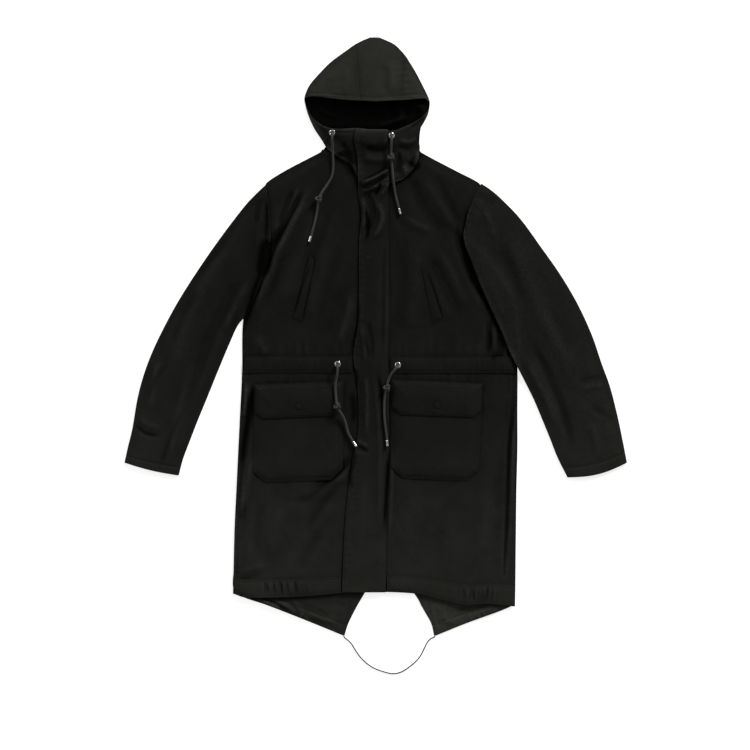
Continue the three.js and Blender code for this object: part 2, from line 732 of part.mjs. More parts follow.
// The placket that covers the zip, on the hood's lower front and then on both fronts
function placket() {
  const right = curve(PLACKET, "y", "right");
  const left = curve(PLACKET, "y", "left");
  const ys = [...levels(PLACKET[0].y, 306, 18), ...levels(280, HEM_Y - 1, 34)];
  return clothWall({
    us: evenly(4),
    vs: shares(ys),
    plan: (u, v) => {
      const y = lerp(ys[0], HEM_Y - 1, v);
      return [lerp(right(y), left(y), u), y];
    },
    form: (x, y, u) => PLACKET_FORM * Math.sin(Math.PI * u) + ridges(PLACKET_FOLDS, x, y),
  });
}

// A sleeve: a flattened tube of cloth, open at the armhole and the cuff. Its upper end lies on
// the edge of the body, and the rest on the surface beside it.
function sleeve(side, table, folds) {
  const at = along(table);
  const turn = side === "right" ? 1 : -1;
  const walls = [
    { radius: SLEEVE.roll, steps: [0, 0.7, SLEEVE.roll], folded: 1 },
    { radius: SLEEVE.roll - CLOTH, steps: [CLOTH, CLOTH + 0.4, CLOTH + 1.4], folded: SLEEVE.doubled },
  ];
  const stations = evenly(SLEEVE.sections).map((v) => {
    const row = at(v);
    return { row, width: Math.hypot(row.innerX - row.outerX, row.innerY - row.outerY) };
  });
  const distances = (steps, width) => [
    ...steps,
    ...evenly(5).map((t) => lerp(12, width - 12, t)),
    ...steps.map((step) => width - step).reverse(),
  ];
  const place = ({ row, width }, distance) => {
    const t = distance / width;
    const swing = row.bow * Math.sin(Math.PI * t) * turn;
    const x = lerp(row.outerX, row.innerX, t) - ((row.innerY - row.outerY) / width) * swing;
    const y = lerp(row.outerY, row.innerY, t) + ((row.innerX - row.outerX) / width) * swing;
    return [x, y];
  };
  const wide = distances(walls[0].steps, 100).length;
  const heights = restOnPile(
    stations.flatMap((station) =>
      distances(walls[0].steps, station.width).map((distance) => place(station, distance))),
    wide,
  );
  const positions = stations.flatMap((station, s) =>
    walls.flatMap(({ radius, steps, folded }) => {
      const all = distances(steps, station.width);
      const point = (n, upper) => {
        const [x, y] = place(station, all[n]);
        const edge = Math.min(all[n], station.width - all[n]);
        const inside = edge - (SLEEVE.roll - radius);
        const curl = inside < radius ? Math.sqrt(radius ** 2 - (radius - inside) ** 2) : radius;
        const loft = SLEEVE.loft * smooth(edge / SLEEVE.fullAt);
        const crease = folded * ridges(folds, x, y) * smooth(edge / SLEEVE.creasedAt);
        return [x, y, heights[s * wide + n] + SLEEVE.roll + (upper ? curl + loft + crease : -curl)];
      };
      const order = all.map((_, n) => n);
      return [
        ...order.map((n) => point(n, false)),
        ...order.slice(1, -1).reverse().map((n) => point(n, true)),
      ];
    }));
  const around = wide * 2 - 2;
  const last = stations.length - 1;
  const corner = (s, wall, k) => (s * 2 + wall) * around + (k % around);
  const triangles = [];
  const quad = (a, b, c, d) => triangles.push([a, b, c], [a, c, d]);
  for (let k = 0; k < around; k++) {
    for (let s = 0; s < last; s++) {
      quad(corner(s, 0, k), corner(s, 0, k + 1), corner(s + 1, 0, k + 1), corner(s + 1, 0, k));
      quad(corner(s, 1, k), corner(s + 1, 1, k), corner(s + 1, 1, k + 1), corner(s, 1, k + 1));
    }
    quad(corner(0, 0, k), corner(0, 1, k), corner(0, 1, k + 1), corner(0, 0, k + 1));
    quad(corner(last, 0, k), corner(last, 0, k + 1), corner(last, 1, k + 1), corner(last, 1, k));
  }
  return closed(positions, triangles);
}

// The back of the hood, flat on the surface: its inside shows through the face opening.
function hoodBack() {
  const bottom = NECK_Y + SEAM / 2;
  const ys = [CROWN_Y, 621, ...levels(608, 500, 18), ...levels(484, bottom, 16)];
  return clothWall({
    us: evenly(5),
    vs: shares(ys),
    plan: (u, v) => {
      const y = lerp(CROWN_Y, bottom, v);
      return [lerp(hoodRight(y), hoodLeft(y), u), y];
    },
  });
}

// The hood's upper front, from its outline to the brim, between two seams across the crown
function hoodUpper({ from, to, columns }) {
  const at = along(CROWN);
  return clothWall({
    us: evenly(columns),
    vs: evenly(6),
    least: CLOTH + SEAM,
    plan: (u, v) => {
      const row = at(lerp(from, to, u));
      return [lerp(row.edgeX, row.brimX, v), lerp(row.edgeY, row.brimY, v)];
    },
    form: (x, y, u, v) => {
      const arch = Math.sin(Math.PI * clamp(lerp(from, to, u), 0.02, 0.98)) ** BRIM.fade;
      const reach = smooth((v * (CROWN_Y - BRIM_Y) * arch) / EDGE_ROLL);
      return BODY_LOFT * reach + BRIM.rise * arch * Math.sin((Math.PI / 2) * v) ** BRIM.climb;
    },
  });
}

// The hood's lower front on one side, from the lip of the face opening to the neck seam. It
// lies on the front's neck edge, and under the placket.
function hoodLower(table, columns) {
  const at = along(table);
  return clothWall({
    us: evenly(columns),
    vs: evenly(6),
    least: CLOTH + SEAM,
    plan: (u, v) => {
      const row = at(u);
      return [lerp(row.lipX, row.baseX, v), lerp(row.lipY, row.baseY, v)];
    },
    form: (x, y, u, v) => {
      const loft = BODY_LOFT * smooth(inset(x, y) / EDGE_ROLL) * (1 - v);
      return loft + LIP.rise * smooth(inset(x, y) / LIP.fade) * (1 - smooth(v));
    },
  });
}

// A casing strip along the waist, with the cord inside it
function waistCasing({ right, left, top, bottom }) {
  return clothWall({
    us: evenly(Math.round((left - right) / 20)),
    vs: evenly(4),
    thickness: STRIP,
    plan: (u, v) => [lerp(right, left, u), lerp(top, bottom, v)],
    form: (x, y, u, v) => CASING_RISE * Math.sin(Math.PI * v),
  });
}

// A casing strip along one front's hem, gathered on the cord inside it for part of its length
function hemCasing({ right, left, gatheredFrom, gatheredTo }) {
  const waves = Math.round((gatheredTo - gatheredFrom) / GATHER);
  const xs = [
    ...levels(right, gatheredFrom - GATHER, 30),
    ...levels(gatheredFrom, gatheredTo, (gatheredTo - gatheredFrom) / waves / 4),
    ...levels(gatheredTo + GATHER, left, 30),
  ];
  return clothWall({
    us: shares(xs),
    vs: evenly(2),
    thickness: STRIP,
    plan: (u, v) => {
      const x = lerp(right, left, u);
      return [x, hung(x, lerp(HEM_Y + HEM_CASING, HEM_Y + 1, v))];
    },
    form: (x, y, u, v) => {
      const t = (x - gatheredFrom) / (gatheredTo - gatheredFrom);
      const inside = t > 0 && t < 1 ? smooth(t / 0.2) * smooth((1 - t) / 0.2) : 0;
      const wave = 0.5 - 0.5 * Math.cos(2 * Math.PI * waves * t);
      return Math.sin(Math.PI * v) * (CASING_RISE + GATHER_RISE * inside * wave);
    },
  });
}

// A place on a patch, which is a pocket or its flap, at a share u of its width and a depth
// below its top. Its lower corners are cut off, it narrows a little towards its bottom, and it
// tilts with the cloth it is sewn to.
function patchPlace({ right, left, top, narrow, tilt }, { length, corner, margin }, u, depth) {
  const cut = corner * clamp((depth - (length - corner)) / corner, 0, 1);
  const taper = narrow * (depth / length);
  const x = lerp(right + margin + cut, left - margin - cut - taper, u);
  return [x, top - margin - depth + tilt * (x - (right + left) / 2)];
}

function patch(pocket, shape) {
  const { length, corner, full, fullAt } = shape;
  const ys = [...levels(0, length - corner, 20), length - corner / 2, length];
  return clothWall({
    us: evenly(8),
    vs: shares(ys),
    plan: (u, v) => patchPlace(pocket, shape, u, v * length),
    form: (x, y, u, v) => {
      const width = pocket.left - pocket.right;
      const edge = Math.min(u * width, (1 - u) * width, v * length, (1 - v) * length);
      return full * smooth(edge / fullAt);
    },
  });
}

// A narrow slanting welt over a chest pocket's mouth
function welt({ topX, topY, bottomX, bottomY, slant }) {
  return clothWall({
    us: evenly(2),
    vs: evenly(6),
    thickness: STRIP,
    plan: (u, v) => {
      const width = lerp(WELT.top, WELT.bottom, v);
      return [lerp(topX, bottomX, v) + width * (u - 0.5), lerp(topY, bottomY, v) + slant * (u - 0.5)];
    },
  });
}

lay({ hood_back: hoodBack() }, "lining");
lay({ back_right: backHalf("right"), back_left: backHalf("left") });
lay(each(HOOD_UPPER, hoodUpper));
lay({ front_right: front("right"), front_left: front("left") });
lay({
  hood_lower_right: hoodLower(HOOD_LOWER_RIGHT, 11),
  hood_lower_left: hoodLower(HOOD_LOWER_LEFT, 13),
});
lay(each(WAIST_CASINGS, waistCasing));
lay(each(HEM_CASINGS, hemCasing));
lay(each(POCKETS, (pocket) => patch(pocket, POCKET)));
lay(each(FLAPS, (flap) => patch(flap, FLAP)));
lay(each(WELTS, welt));
lay({ placket: placket() });
lay({
  sleeve_right: sleeve("right", RIGHT_SLEEVE, RIGHT_SLEEVE_FOLDS),
  sleeve_left: sleeve("left", LEFT_SLEEVE, LEFT_SLEEVE_FOLDS),
});

// An eyelet: a rolled ring, flat on the cloth around its hole
function eyelet({ x, y }) {
  const { hole, rim, height } = EYELET;
  const crest = lerp(hole, rim, 0.45);
  const profile = [
    [hole, 0],
    [rim, 0],
    [rim - 0.3, height * 0.5],
    [crest, height],
    [hole + 0.3, height * 0.7],
    [hole, 0],
  ].map(([radius, up]) => new THREE.Vector2(radius, up));
  const geometry = new THREE.LatheGeometry(profile, 16);
  const around = evenly(16).map((t) => 2 * Math.PI * t);
  const clear = around.map((a) => clearHeight(x + rim * Math.cos(a), y + rim * Math.sin(a)));
  return geometry.rotateX(Math.PI / 2).translate(x, y, Math.max(...clear));
}

// A cord: a plain tube along its middle line
function cord(route, diameter, every) {
  const section = new THREE.Shape();
  section.setFromPoints(
    evenly(CORD_FACETS.around).slice(1).map((t) => {
      const angle = 2 * Math.PI * t;
      return new THREE.Vector2(Math.cos(angle), Math.sin(angle)).multiplyScalar(diameter / 2);
    }),
  );
  const steps = Math.round(route.getLength() / every);
  return new THREE.ExtrudeGeometry(section, { extrudePath: route, steps, bevelEnabled: false });
}

// A copy of a shape made about the Z axis, turned along a direction and moved to a place
function aimed(geometry, place, direction) {
  const turn = new THREE.Quaternion().setFromUnitVectors(new THREE.Vector3(0, 0, 1), direction);
  return geometry.applyQuaternion(turn).translate(place.x, place.y, place.z);
}

// A knot on a cord, as a round collar of an oval section
function knot() {
  const { play, thick, length } = KNOT;
  const middle = CORD / 2 + play + thick / 2;
  const oval = evenly(6).map((t) => {
    const angle = 2 * Math.PI * t;
    return new THREE.Vector2(middle + (thick / 2) * Math.cos(angle), (length / 2) * Math.sin(angle));
  });
  return new THREE.LatheGeometry(oval, 10).rotateX(Math.PI / 2);
}

for (const row of EYELETS) add(row.name, eyelet(row), "nickel");
for (const { name, route, knot: place } of CORDS) {
  const line = new THREE.CatmullRomCurve3(route.map((point) => new THREE.Vector3(...point)));
  add("cord_" + name, cord(line, CORD, CORD_FACETS.every), "cord");
  const at = place / (route.length - 1);
  add("knot_" + name, aimed(knot(), line.getPoint(at), line.getTangent(at)), "cord");
  const end = line.getPoint(1).addScaledVector(line.getTangent(1), SEAM + TIP.length / 2);
  const tip = new THREE.CylinderGeometry(TIP.radius, TIP.radius, TIP.length, 12).rotateX(Math.PI / 2);
  add("tip_" + name, aimed(tip, end, line.getTangent(1)), "nickel");
}
const tailLine = new THREE.CatmullRomCurve3(
  TAIL_CORD_ROUTE.map(([x, y]) => new THREE.Vector3(x, y, TAIL_CORD / 2 + 0.1)),
);
add("cord_tail", cord(tailLine, TAIL_CORD, CORD_FACETS.tailEvery), "cord");

export default part;
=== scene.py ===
# %% [markdown]
# # A hooded parka, laid flat
#
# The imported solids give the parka's true sizes and the place of every piece. This lesson dresses
# them: each cloth panel becomes a thin shell with its creases, sewing and weave. It goes in the
# order in which the coat lies: the back first, then the fronts, then what is sewn on them. So
# each layer can rest on the ones below it.

import math

import bpy
import numpy as np
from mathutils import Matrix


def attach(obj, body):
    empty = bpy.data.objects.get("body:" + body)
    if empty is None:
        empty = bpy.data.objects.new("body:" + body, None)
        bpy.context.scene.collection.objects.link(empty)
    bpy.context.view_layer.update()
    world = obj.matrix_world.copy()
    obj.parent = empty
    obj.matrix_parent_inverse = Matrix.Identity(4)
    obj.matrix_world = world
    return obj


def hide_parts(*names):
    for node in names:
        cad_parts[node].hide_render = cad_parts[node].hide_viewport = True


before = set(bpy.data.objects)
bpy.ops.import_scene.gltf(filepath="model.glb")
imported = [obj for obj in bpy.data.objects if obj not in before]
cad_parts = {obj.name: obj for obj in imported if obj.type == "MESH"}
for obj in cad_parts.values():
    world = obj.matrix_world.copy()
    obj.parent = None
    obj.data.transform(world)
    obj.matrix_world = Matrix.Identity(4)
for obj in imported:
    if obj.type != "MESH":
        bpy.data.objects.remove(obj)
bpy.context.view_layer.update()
MM = 0.001  # the tables below are in millimetres, and Blender works in metres

# %% [markdown]
# ## Camera
#
# The picture is taken from straight above. A short lens would show the sides of the hood and
# bend the outline, so the camera stands high and has a long lens, as a copy stand has.

# %% Camera
PIXEL = 2.1 * MM  # what one picture element covers on the coat
PICTURE = 750  # picture elements across
CAMERA = {"x": -1.0 * MM, "y": -80.9 * MM, "height": 8.0, "sensor": 36.0}

camera = bpy.data.objects.new("camera", bpy.data.cameras.new("camera"))
bpy.context.scene.collection.objects.link(camera)
camera.location = (CAMERA["x"], CAMERA["y"], CAMERA["height"])
camera.data.sensor_width = CAMERA["sensor"]
camera.data.lens = CAMERA["sensor"] * CAMERA["height"] / (PICTURE * PIXEL)
camera.data.clip_end = 2 * CAMERA["height"]
bpy.context.scene.camera = camera
print("lens:", round(camera.data.lens, 1), "mm")

# %% [markdown]
# ## Tables and curves
#
# A pattern cutter draws an outline through a few measured points with a bent ruler. A table
# holds such points by the names of its columns, and a curve runs through them smoothly. It
# could be a Bezier curve with handles, but a Hermite curve needs no handles: its slope at each
# point is that of the line from the point before to the point after.

# %% Tables and curves
def table(names, *rows):
    """Rows of numbers as named columns."""
    return dict(zip(names.split(), np.array(rows, float).T))


def curve(rows, key, name):
    """A Hermite curve through one column of a table over another."""
    order = np.argsort(rows[key])
    at, value = rows[key][order], rows[name][order]
    before, after = np.maximum(np.arange(len(at)) - 1, 0), np.minimum(np.arange(len(at)) + 1, len(at) - 1)
    slope = (value[after] - value[before]) / (at[after] - at[before])

    def through(place):
        place = np.clip(place, at[0], at[-1])
        i = np.clip(np.searchsorted(at, place, side="right") - 1, 0, len(at) - 2)
        span = at[i + 1] - at[i]
        t = (place - at[i]) / span
        ends = value[i] * (1 + 2 * t) * (1 - t) ** 2 + value[i + 1] * t * t * (3 - 2 * t)
        return ends + span * (slope[i] * t * (1 - t) ** 2 - slope[i + 1] * t * t * (1 - t))

    return through


def along(rows):
    """Curves through all columns of a table, from its first row, 0, to its last, 1."""
    count = len(next(iter(rows.values())))
    placed = {**rows, "place": np.linspace(0, 1, count)}
    columns = {name: curve(placed, "place", name) for name in rows}
    return lambda t: {name: through(t) for name, through in columns.items()}


def smooth(t):
    """0 below 0, 1 above 1, and a soft S between."""
    t = np.clip(t, 0, 1)
    return t * t * (3 - 2 * t)


def lerp(a, b, t):
    return a + (b - a) * t


def softened(points, count=8):
    """A Catmull-Rom curve through given points: between two points it is the cubic whose
    slopes are half the way from the point before to the point after."""
    p = np.array(points, float)
    p = np.vstack([2 * p[0] - p[1], p, 2 * p[-1] - p[-2]])
    t = np.linspace(0, 1, count, endpoint=False)[None, :, None]
    a, b, c, d = p[:-3, None], p[1:-2, None], p[2:-1, None], p[3:, None]
    cubic = b + 0.5 * t * (c - a + t * (2 * a - 5 * b + 4 * c - d + t * (3 * b - a - 3 * c + d)))
    return np.vstack([cubic.reshape(-1, p.shape[1]), p[-2]])


def paced(points, pace):
    """The same line with its points an equal pace apart."""
    passed = np.concatenate([[0], np.cumsum(np.linalg.norm(np.diff(points, axis=0), axis=1))])
    at = np.linspace(0, passed[-1], max(2, int(round(passed[-1] / pace)) + 1))
    return np.column_stack([np.interp(at, passed, points[:, k]) for k in range(points.shape[1])])


# %% [markdown]
# ## Meshes from grids
#
# Each new piece is a grid of points. numpy works all of them out at once, and Blender gets them
# as a list of places and a list of faces. Modelling by hand would do for one pocket, but not for
# forty pieces that have to lie on each other exactly.

# %% Meshes from grids
SHARP = math.radians(50)  # edges that bend more than this are drawn crisp


def grid_faces(rows, columns, wrap=False):
    """The four corners of each cell of a grid that is numbered row by row. With wrap, the last
    column joins the first."""
    i, j = np.meshgrid(np.arange(rows - 1), np.arange(columns if wrap else columns - 1), indexing="ij")
    k = (j + 1) % columns
    return np.stack([i * columns + j, i * columns + k, (i + 1) * columns + k, (i + 1) * columns + j], -1)


def make_piece(name, places, faces, uv):
    """A mesh object from places in millimetres and faces. uv holds a place in metres on the flat
    cloth for each corner of the faces."""
    mesh = bpy.data.meshes.new(name)
    mesh.from_pydata((places * MM).tolist(), [], faces)
    layer = mesh.uv_layers.new(name="cloth")
    layer.data.foreach_set("uv", np.asarray(uv, np.float32).ravel())
    mesh.polygons.foreach_set("use_smooth", np.ones(len(mesh.polygons), bool))
    mesh.set_sharp_from_angle(angle=SHARP)
    mesh.update()
    piece = bpy.data.objects.new(name, mesh)
    bpy.context.scene.collection.objects.link(piece)
    return piece


def tube(name, line, radii, around, side, pattern=None):
    """A round tube along a line, closed at both ends: at each point of the line, a circle of
    that point's radius, square to the line. side is a direction that the line never takes.
    pattern gives the share by which the surface stands out at an angle and a length along."""
    ahead = np.gradient(line, axis=0)
    ahead /= np.linalg.norm(ahead, axis=1)[:, None]
    across = np.cross(ahead, np.array(side, float))
    across /= np.linalg.norm(across, axis=1)[:, None]
    up = np.cross(across, ahead)
    passed = np.concatenate([[0], np.cumsum(np.linalg.norm(np.diff(line, axis=0), axis=1))])
    angle = np.arange(around) * 2 * math.pi / around
    swell = 1 + (pattern(angle[None, :], passed[:, None]) if pattern else 0)
    reach = (np.broadcast_to(radii, len(line))[:, None] * swell)[..., None]
    rings = line[:, None] + reach * (
        np.cos(angle)[None, :, None] * across[:, None] + np.sin(angle)[None, :, None] * up[:, None])
    faces = grid_faces(len(line), around, wrap=True)
    turn = np.arange(around + 1) / around * 2 * math.pi * np.max(radii)
    turn = np.broadcast_to(turn, (len(line), around + 1))
    uv = np.stack([turn, np.broadcast_to(passed[:, None], turn.shape)], -1) * MM
    corners = np.stack([uv[:-1, :-1], uv[:-1, 1:], uv[1:, 1:], uv[1:, :-1]], -2).reshape(-1, 2)
    last = (len(line) - 1) * around
    caps = [list(range(around - 1, -1, -1)), list(range(last, last + around))]
    corners = np.vstack([corners, np.zeros((2 * around, 2))])
    return make_piece(name, rings.reshape(-1, 3), faces.reshape(-1, 4).tolist() + caps, corners)


# %% [markdown]
# ## Drawcords
#
# The hood and the waist each have a cord that comes out of two eyelets, falls over and lies on
# the coat, with a knot and a metal tip. It is braided from eight strands. A curve with a bevel
# would give a smooth tube, so the tube here is a mesh whose surface stands out where two sets of
# strands cross it in opposite turns.

# %% Drawcords
CORD = 5.0  # millimetres thick
TAIL_CORD = 2.5
# Strands each way, the length of one turn, their relief, and the wave's level at the cord's radius
BRAID = {"strands": 4, "turn": 16.0, "relief": 0.07, "level": 0.6}
# A trefoil of this size is about 13 mm across. Its cord is pulled thinner, and it lies flat.
KNOT = {"size": 2.55, "tight": 0.78, "flat": 0.8, "radius": 0.46}
TIP = {"radius": 2.8, "length": 13.0, "gap": 0.3}

CORDS = {
    "hood_right": (11, [
        (-91, 427, 12.5), (-91, 426.5, 17), (-91, 423, 21.5), (-91, 415, 23.5), (-90.5, 404, 19.5),
        (-90, 391, 14.5), (-89, 375, 11.9), (-89, 350, 10.4), (-93, 333, 9.8), (-102, 317, 10.2),
        (-112, 302, 12.8), (-119, 288, 14.8), (-121, 274, 13), (-124, 256, 9.9), (-129.6, 231, 9.8),
        (-135.2, 211, 9.9)]),
    "hood_left": (6, [
        (34, 421, 17.4), (34, 420.5, 21.5), (34, 417, 26), (33.5, 409, 28.6), (33, 399, 27),
        (32.5, 388, 23.2), (33, 376, 20.8), (34.3, 362, 17), (36, 345, 15.8), (37.3, 329, 16.4),
        (39.3, 313, 12.5), (41.8, 298, 10), (45.3, 283, 9.8), (49.3, 269, 9.8)]),
    "waist_right": (10, [
        (-79, -58, 13.2), (-79, -58.5, 17.5), (-79.5, -62, 22), (-79.5, -70, 24.4),
        (-80.5, -81, 22.5), (-83, -93, 19.6), (-84.2, -106, 18.4), (-83.5, -118, 19),
        (-82.5, -130, 21), (-81.5, -138, 22.6), (-80, -146, 22.9), (-76, -155, 21.4),
        (-68.5, -167, 16.6), (-62.8, -181, 13.6), (-60, -192, 11.5), (-56.5, -204, 11),
        (-50.5, -214.5, 11.3), (-47, -220, 11.7)]),
    "waist_left": (8, [
        (47, -60, 13.2), (46.8, -60.5, 17.5), (45, -63, 22), (41, -69.5, 24.4), (34, -78, 22.8),
        (28.7, -87, 20.6), (25.8, -95, 19.8), (24.5, -101, 19.6), (24, -108, 19.4),
        (21.5, -117, 18), (19.3, -128, 15.6), (18.2, -140, 14.7), (18.2, -160, 14.6),
        (19.8, -182, 14.6), (22.2, -200, 14.7), (24, -217, 14.7)]),
}
TAIL_CORD_ROUTE = [
    (-66.5, -628.6), (-65, -632), (-57, -638.5), (-50, -646), (-42, -659), (-32, -673), (-20, -685),
    (-4, -696), (17, -704), (37, -708), (55, -704), (72, -693), (86, -681), (96, -668), (103, -654),
    (109, -642), (116, -634.5), (123, -631.5), (125, -628.6)]


def braid(angle, passed):
    """Two sets of strands wound in opposite turns: the higher of two cosine waves."""
    wound = 2 * math.pi * passed * BRAID["strands"] / BRAID["turn"]
    one = np.cos(BRAID["strands"] * angle + wound)
    other = np.cos(BRAID["strands"] * angle - wound)
    return BRAID["relief"] * (np.maximum(one, other) - BRAID["level"])


def knot(name, place, ahead):
    """A trefoil, the closed form of an overhand knot: x = sin t + 2 sin 2t, y = cos t - 2 cos 2t,
    z = -1.5 sin 3t, with z along the view so that its three loops show, then turned to the cord."""
    t = np.linspace(0, 2 * math.pi, 97)
    loops = [np.sin(t) + 2 * np.sin(2 * t), np.cos(t) - 2 * np.cos(2 * t), -1.5 * np.sin(3 * t)]
    turn = math.atan2(ahead[1], ahead[0])
    spun = np.column_stack(loops) * KNOT["size"] * KNOT["tight"]
    x = spun[:, 0] * math.cos(turn) - spun[:, 1] * math.sin(turn)
    y = spun[:, 0] * math.sin(turn) + spun[:, 1] * math.cos(turn)
    line = place + np.column_stack([x, y, spun[:, 2] * KNOT["flat"]])
    return tube(name, line, KNOT["radius"] * CORD, 14, (0.02, 0.01, 1), braid)


def tip(name, end, ahead):
    """A metal tip: a tube crimped around the cord's end, narrowed by two rings and rounded off."""
    at = np.array([0, 0.02, 0.06, 0.2, 0.24, 0.28, 0.62, 0.66, 0.70, 0.92, 0.97, 1.0])
    share = np.array([0.86, 0.97, 1, 1, 0.93, 1, 1, 0.93, 1, 1, 0.95, 0.8])
    line = end + np.outer(TIP["gap"] + at * TIP["length"], ahead)
    return tube(name, line, TIP["radius"] * share, 24, (1, 0.1, 0))


def length_of(line):
    return float(np.linalg.norm(np.diff(line, axis=0), axis=1).sum() * MM)


cords, cord_lines, knots, tips = {}, {}, {}, {}
for name, (knotted, route) in CORDS.items():
    line = paced(softened(route, 16), 1.0)
    cord_lines[name] = line
    cords[name] = tube("cord_" + name + "_braid", line, CORD / 2, 16, (1, 0.1, 0), braid)
    here, ahead = np.array(route[knotted]), np.array(route[knotted + 1]) - np.array(route[knotted - 1])
    knots[name] = knot("knot_" + name + "_loops", here, ahead / np.linalg.norm(ahead))
    ahead = line[-1] - line[-3]
    tips[name] = tip("tip_" + name + "_crimped", line[-1], ahead / np.linalg.norm(ahead))
    print("cord", name, round(length_of(line), 3), "m")

cord_lines["tail"] = paced(softened([(x, y, TAIL_CORD / 2 + 0.1) for x, y in TAIL_CORD_ROUTE], 16), 1.0)
cords["tail"] = tube("cord_tail_braid", cord_lines["tail"], TAIL_CORD / 2, 12, (0, 0, 1), braid)
print("cord tail", round(length_of(cord_lines["tail"]), 3), "m")

# %% [markdown]
# ## The pattern's sizes
#
# These are the outlines of the coat's pieces as they lie, in millimetres: x to the wearer's left,
# y up to the hood. They are the same sizes that the solids are made from, and a curve runs
# through each column.

# %% The pattern's sizes
CLOTH = 2.0  # one layer of lined canvas
STRIP = 1.4  # casings and welts
SEAM = 0.3
BODY_LOFT = 2.6  # air between front and back
EDGE_ROLL = 42  # how far in from a side that air is full
NECK_Y = 388
HEM_Y = -536
TAIL_Y = -628
CROWN_Y = 628
BRIM_Y = 493
HEM_CURVE_Y = -450
VENT_Y = -422
BACK_SEAM = {"neck": -10, "vent": 31}

BODY = table(
    "y right left",
    (388, -113, 93), (372, -144, 122), (346, -193, 172), (322, -229, 217), (306, -236, 226),
    (275, -234, 214), (233, -239, 203), (183, -244, 216), (130, -258, 252), (78, -271, 283),
    (19, -279, 293), (-70, -280, 298), (-157, -284, 298), (-237, -288, 298), (-321, -292, 296),
    (-405, -296, 295), (-489, -298, 294), (-531, -299, 293),
)
FRONT_EDGE = table(
    "y right left",
    (388, -100, 82), (372, -70, 74), (354, -46, 62), (338, -32, 44), (324, -24, 16), (312, -17, -9),
    (300, -14, -13), (285, -14, -13), (-536, -14, -13),
)
HEM_DROP = table(
    "x drop",
    (-299, 4), (-272, 12), (-157, 10), (-72, 3), (-14, 0), (86, 4), (137, 16), (190, 28), (231, 25),
    (293, 31),
)
RIGHT_TAIL = table(
    "y outer inner",
    (-489, -298, 1), (-531, -298, -18), (-546, -281, -27), (-565, -226, -38), (-603, -129, -57),
    (-628, -68, -65),
)
LEFT_TAIL = table(
    "y outer inner",
    (-489, 294, 58), (-531, 293, 76), (-553, 291, 90), (-567, 284, 97), (-603, 189, 117),
    (-628, 127, 123),
)
HOOD = table(
    "y right left",
    (628, -12, 8), (615, -40, 37), (602, -59, 52), (577, -93, 71), (552, -118, 86), (527, -139, 99),
    (502, -149, 111), (489, -148, 114), (464, -141, 109), (439, -130, 94), (426, -122, 89),
    (410, -109, 91), (400, -104, 93), (388.3, -113, 93),
)
CROWN = table(
    "edgeX edgeY brimX brimY",
    (-148, 500, -146, 502), (-144, 517, -134, 503), (-136, 530, -117, 502), (-117, 552, -95, 499),
    (-92, 577, -70, 496), (-59, 601, -44, 494), (-32, 619, -23, 493), (-4, 628, -2, 492),
    (24, 621, 19, 493), (48, 605, 40, 494), (66, 585, 59, 495), (82, 556, 78, 497), (97, 527, 94, 498),
    (107, 509, 105, 498), (113, 492, 111, 494),
)
HOOD_LOWER_RIGHT = table(
    "lipX lipY baseX baseY",
    (-146, 487, -147, 490), (-139, 470, -143, 473), (-128, 455, -136, 453), (-113, 444, -125, 431),
    (-95, 437, -112, 411), (-76, 435, -101, 394), (-59, 436, -78, 376), (-44, 437, -55, 361),
    (-28, 436, -38, 336), (-13.3, 434, -13.3, 316),
)
HOOD_LOWER_LEFT = table(
    "lipX lipY baseX baseY",
    (-13, 434, -13, 316), (6, 432, 15, 318), (27, 431, 42, 324), (44, 433, 61, 332), (61, 440, 78, 350),
    (78, 448, 90, 372), (91, 456, 92, 392), (100, 463, 90, 411), (106, 469, 90, 429),
    (110, 475, 101, 448), (112, 481, 110, 466), (113, 486, 113, 484),
)
PLACKET = table(
    "y right left",
    (434, -40, 26), (420, -45, 25), (399, -43, 26), (380, -38, 27), (340, -37, 28), (300, -36, 28),
    (256, -30, 28), (200, -34, 28), (78, -35, 30), (15, -38, 30), (-17, -44, 28), (-48, -46, 26),
    (-80, -41, 27), (-132, -36, 28), (-195, -36, 28), (-227, -41, 28), (-258, -48, 27), (-342, -59, 25),
    (-426, -66, 23), (-537, -70, 21),
)
RIGHT_SLEEVE = table(
    "outerX outerY innerX innerY bow",
    (-231, 318, -226, 158, 9), (-252, 298, -233, 138, 8), (-277, 271, -240, 118, 4),
    (-325, 208, -253, 83, 0), (-369, 145, -270, 46, 0), (-410, 81, -289, 23, 0), (-441, 25, -309, -21, 0),
    (-468, -31, -332, -76, 0), (-487, -82, -353, -128, 0), (-500, -132, -372, -174, 0),
    (-510, -191, -391, -223, 0), (-520, -233, -404, -258, -2), (-527, -265, -413, -292, -3),
)
LEFT_SLEEVE = table(
    "outerX outerY innerX innerY bow",
    (222, 321, 184, 212, 6), (243, 307, 188, 192, 6), (266, 287, 196, 170, 3), (305, 246, 216, 118, 0),
    (348, 187, 239, 65, 0), (388, 130, 263, 13, 0), (424, 69, 284, -38, 0), (454, 4, 309, -86, 0),
    (475, -57, 332, -132, 0), (493, -107, 349, -172, 0), (508, -166, 367, -216, -2),
    (519, -218, 382, -254, -6), (528, -265, 403, -296, -9),
)

body_right, body_left = curve(BODY, "y", "right"), curve(BODY, "y", "left")
hood_right, hood_left = curve(HOOD, "y", "right"), curve(HOOD, "y", "left")
hem_drop = curve(HEM_DROP, "x", "drop")
print("tables:", len(BODY["y"]), "levels of the body,", len(CROWN["edgeX"]), "places round the crown")


def inset(x, y):
    """How far a point lies inside the coat's sides, or inside the hood's above the neck."""
    right = np.where(y > NECK_Y, hood_right(y), body_right(y))
    left = np.where(y > NECK_Y, hood_left(y), body_left(y))
    return np.minimum(x - right, left - x)


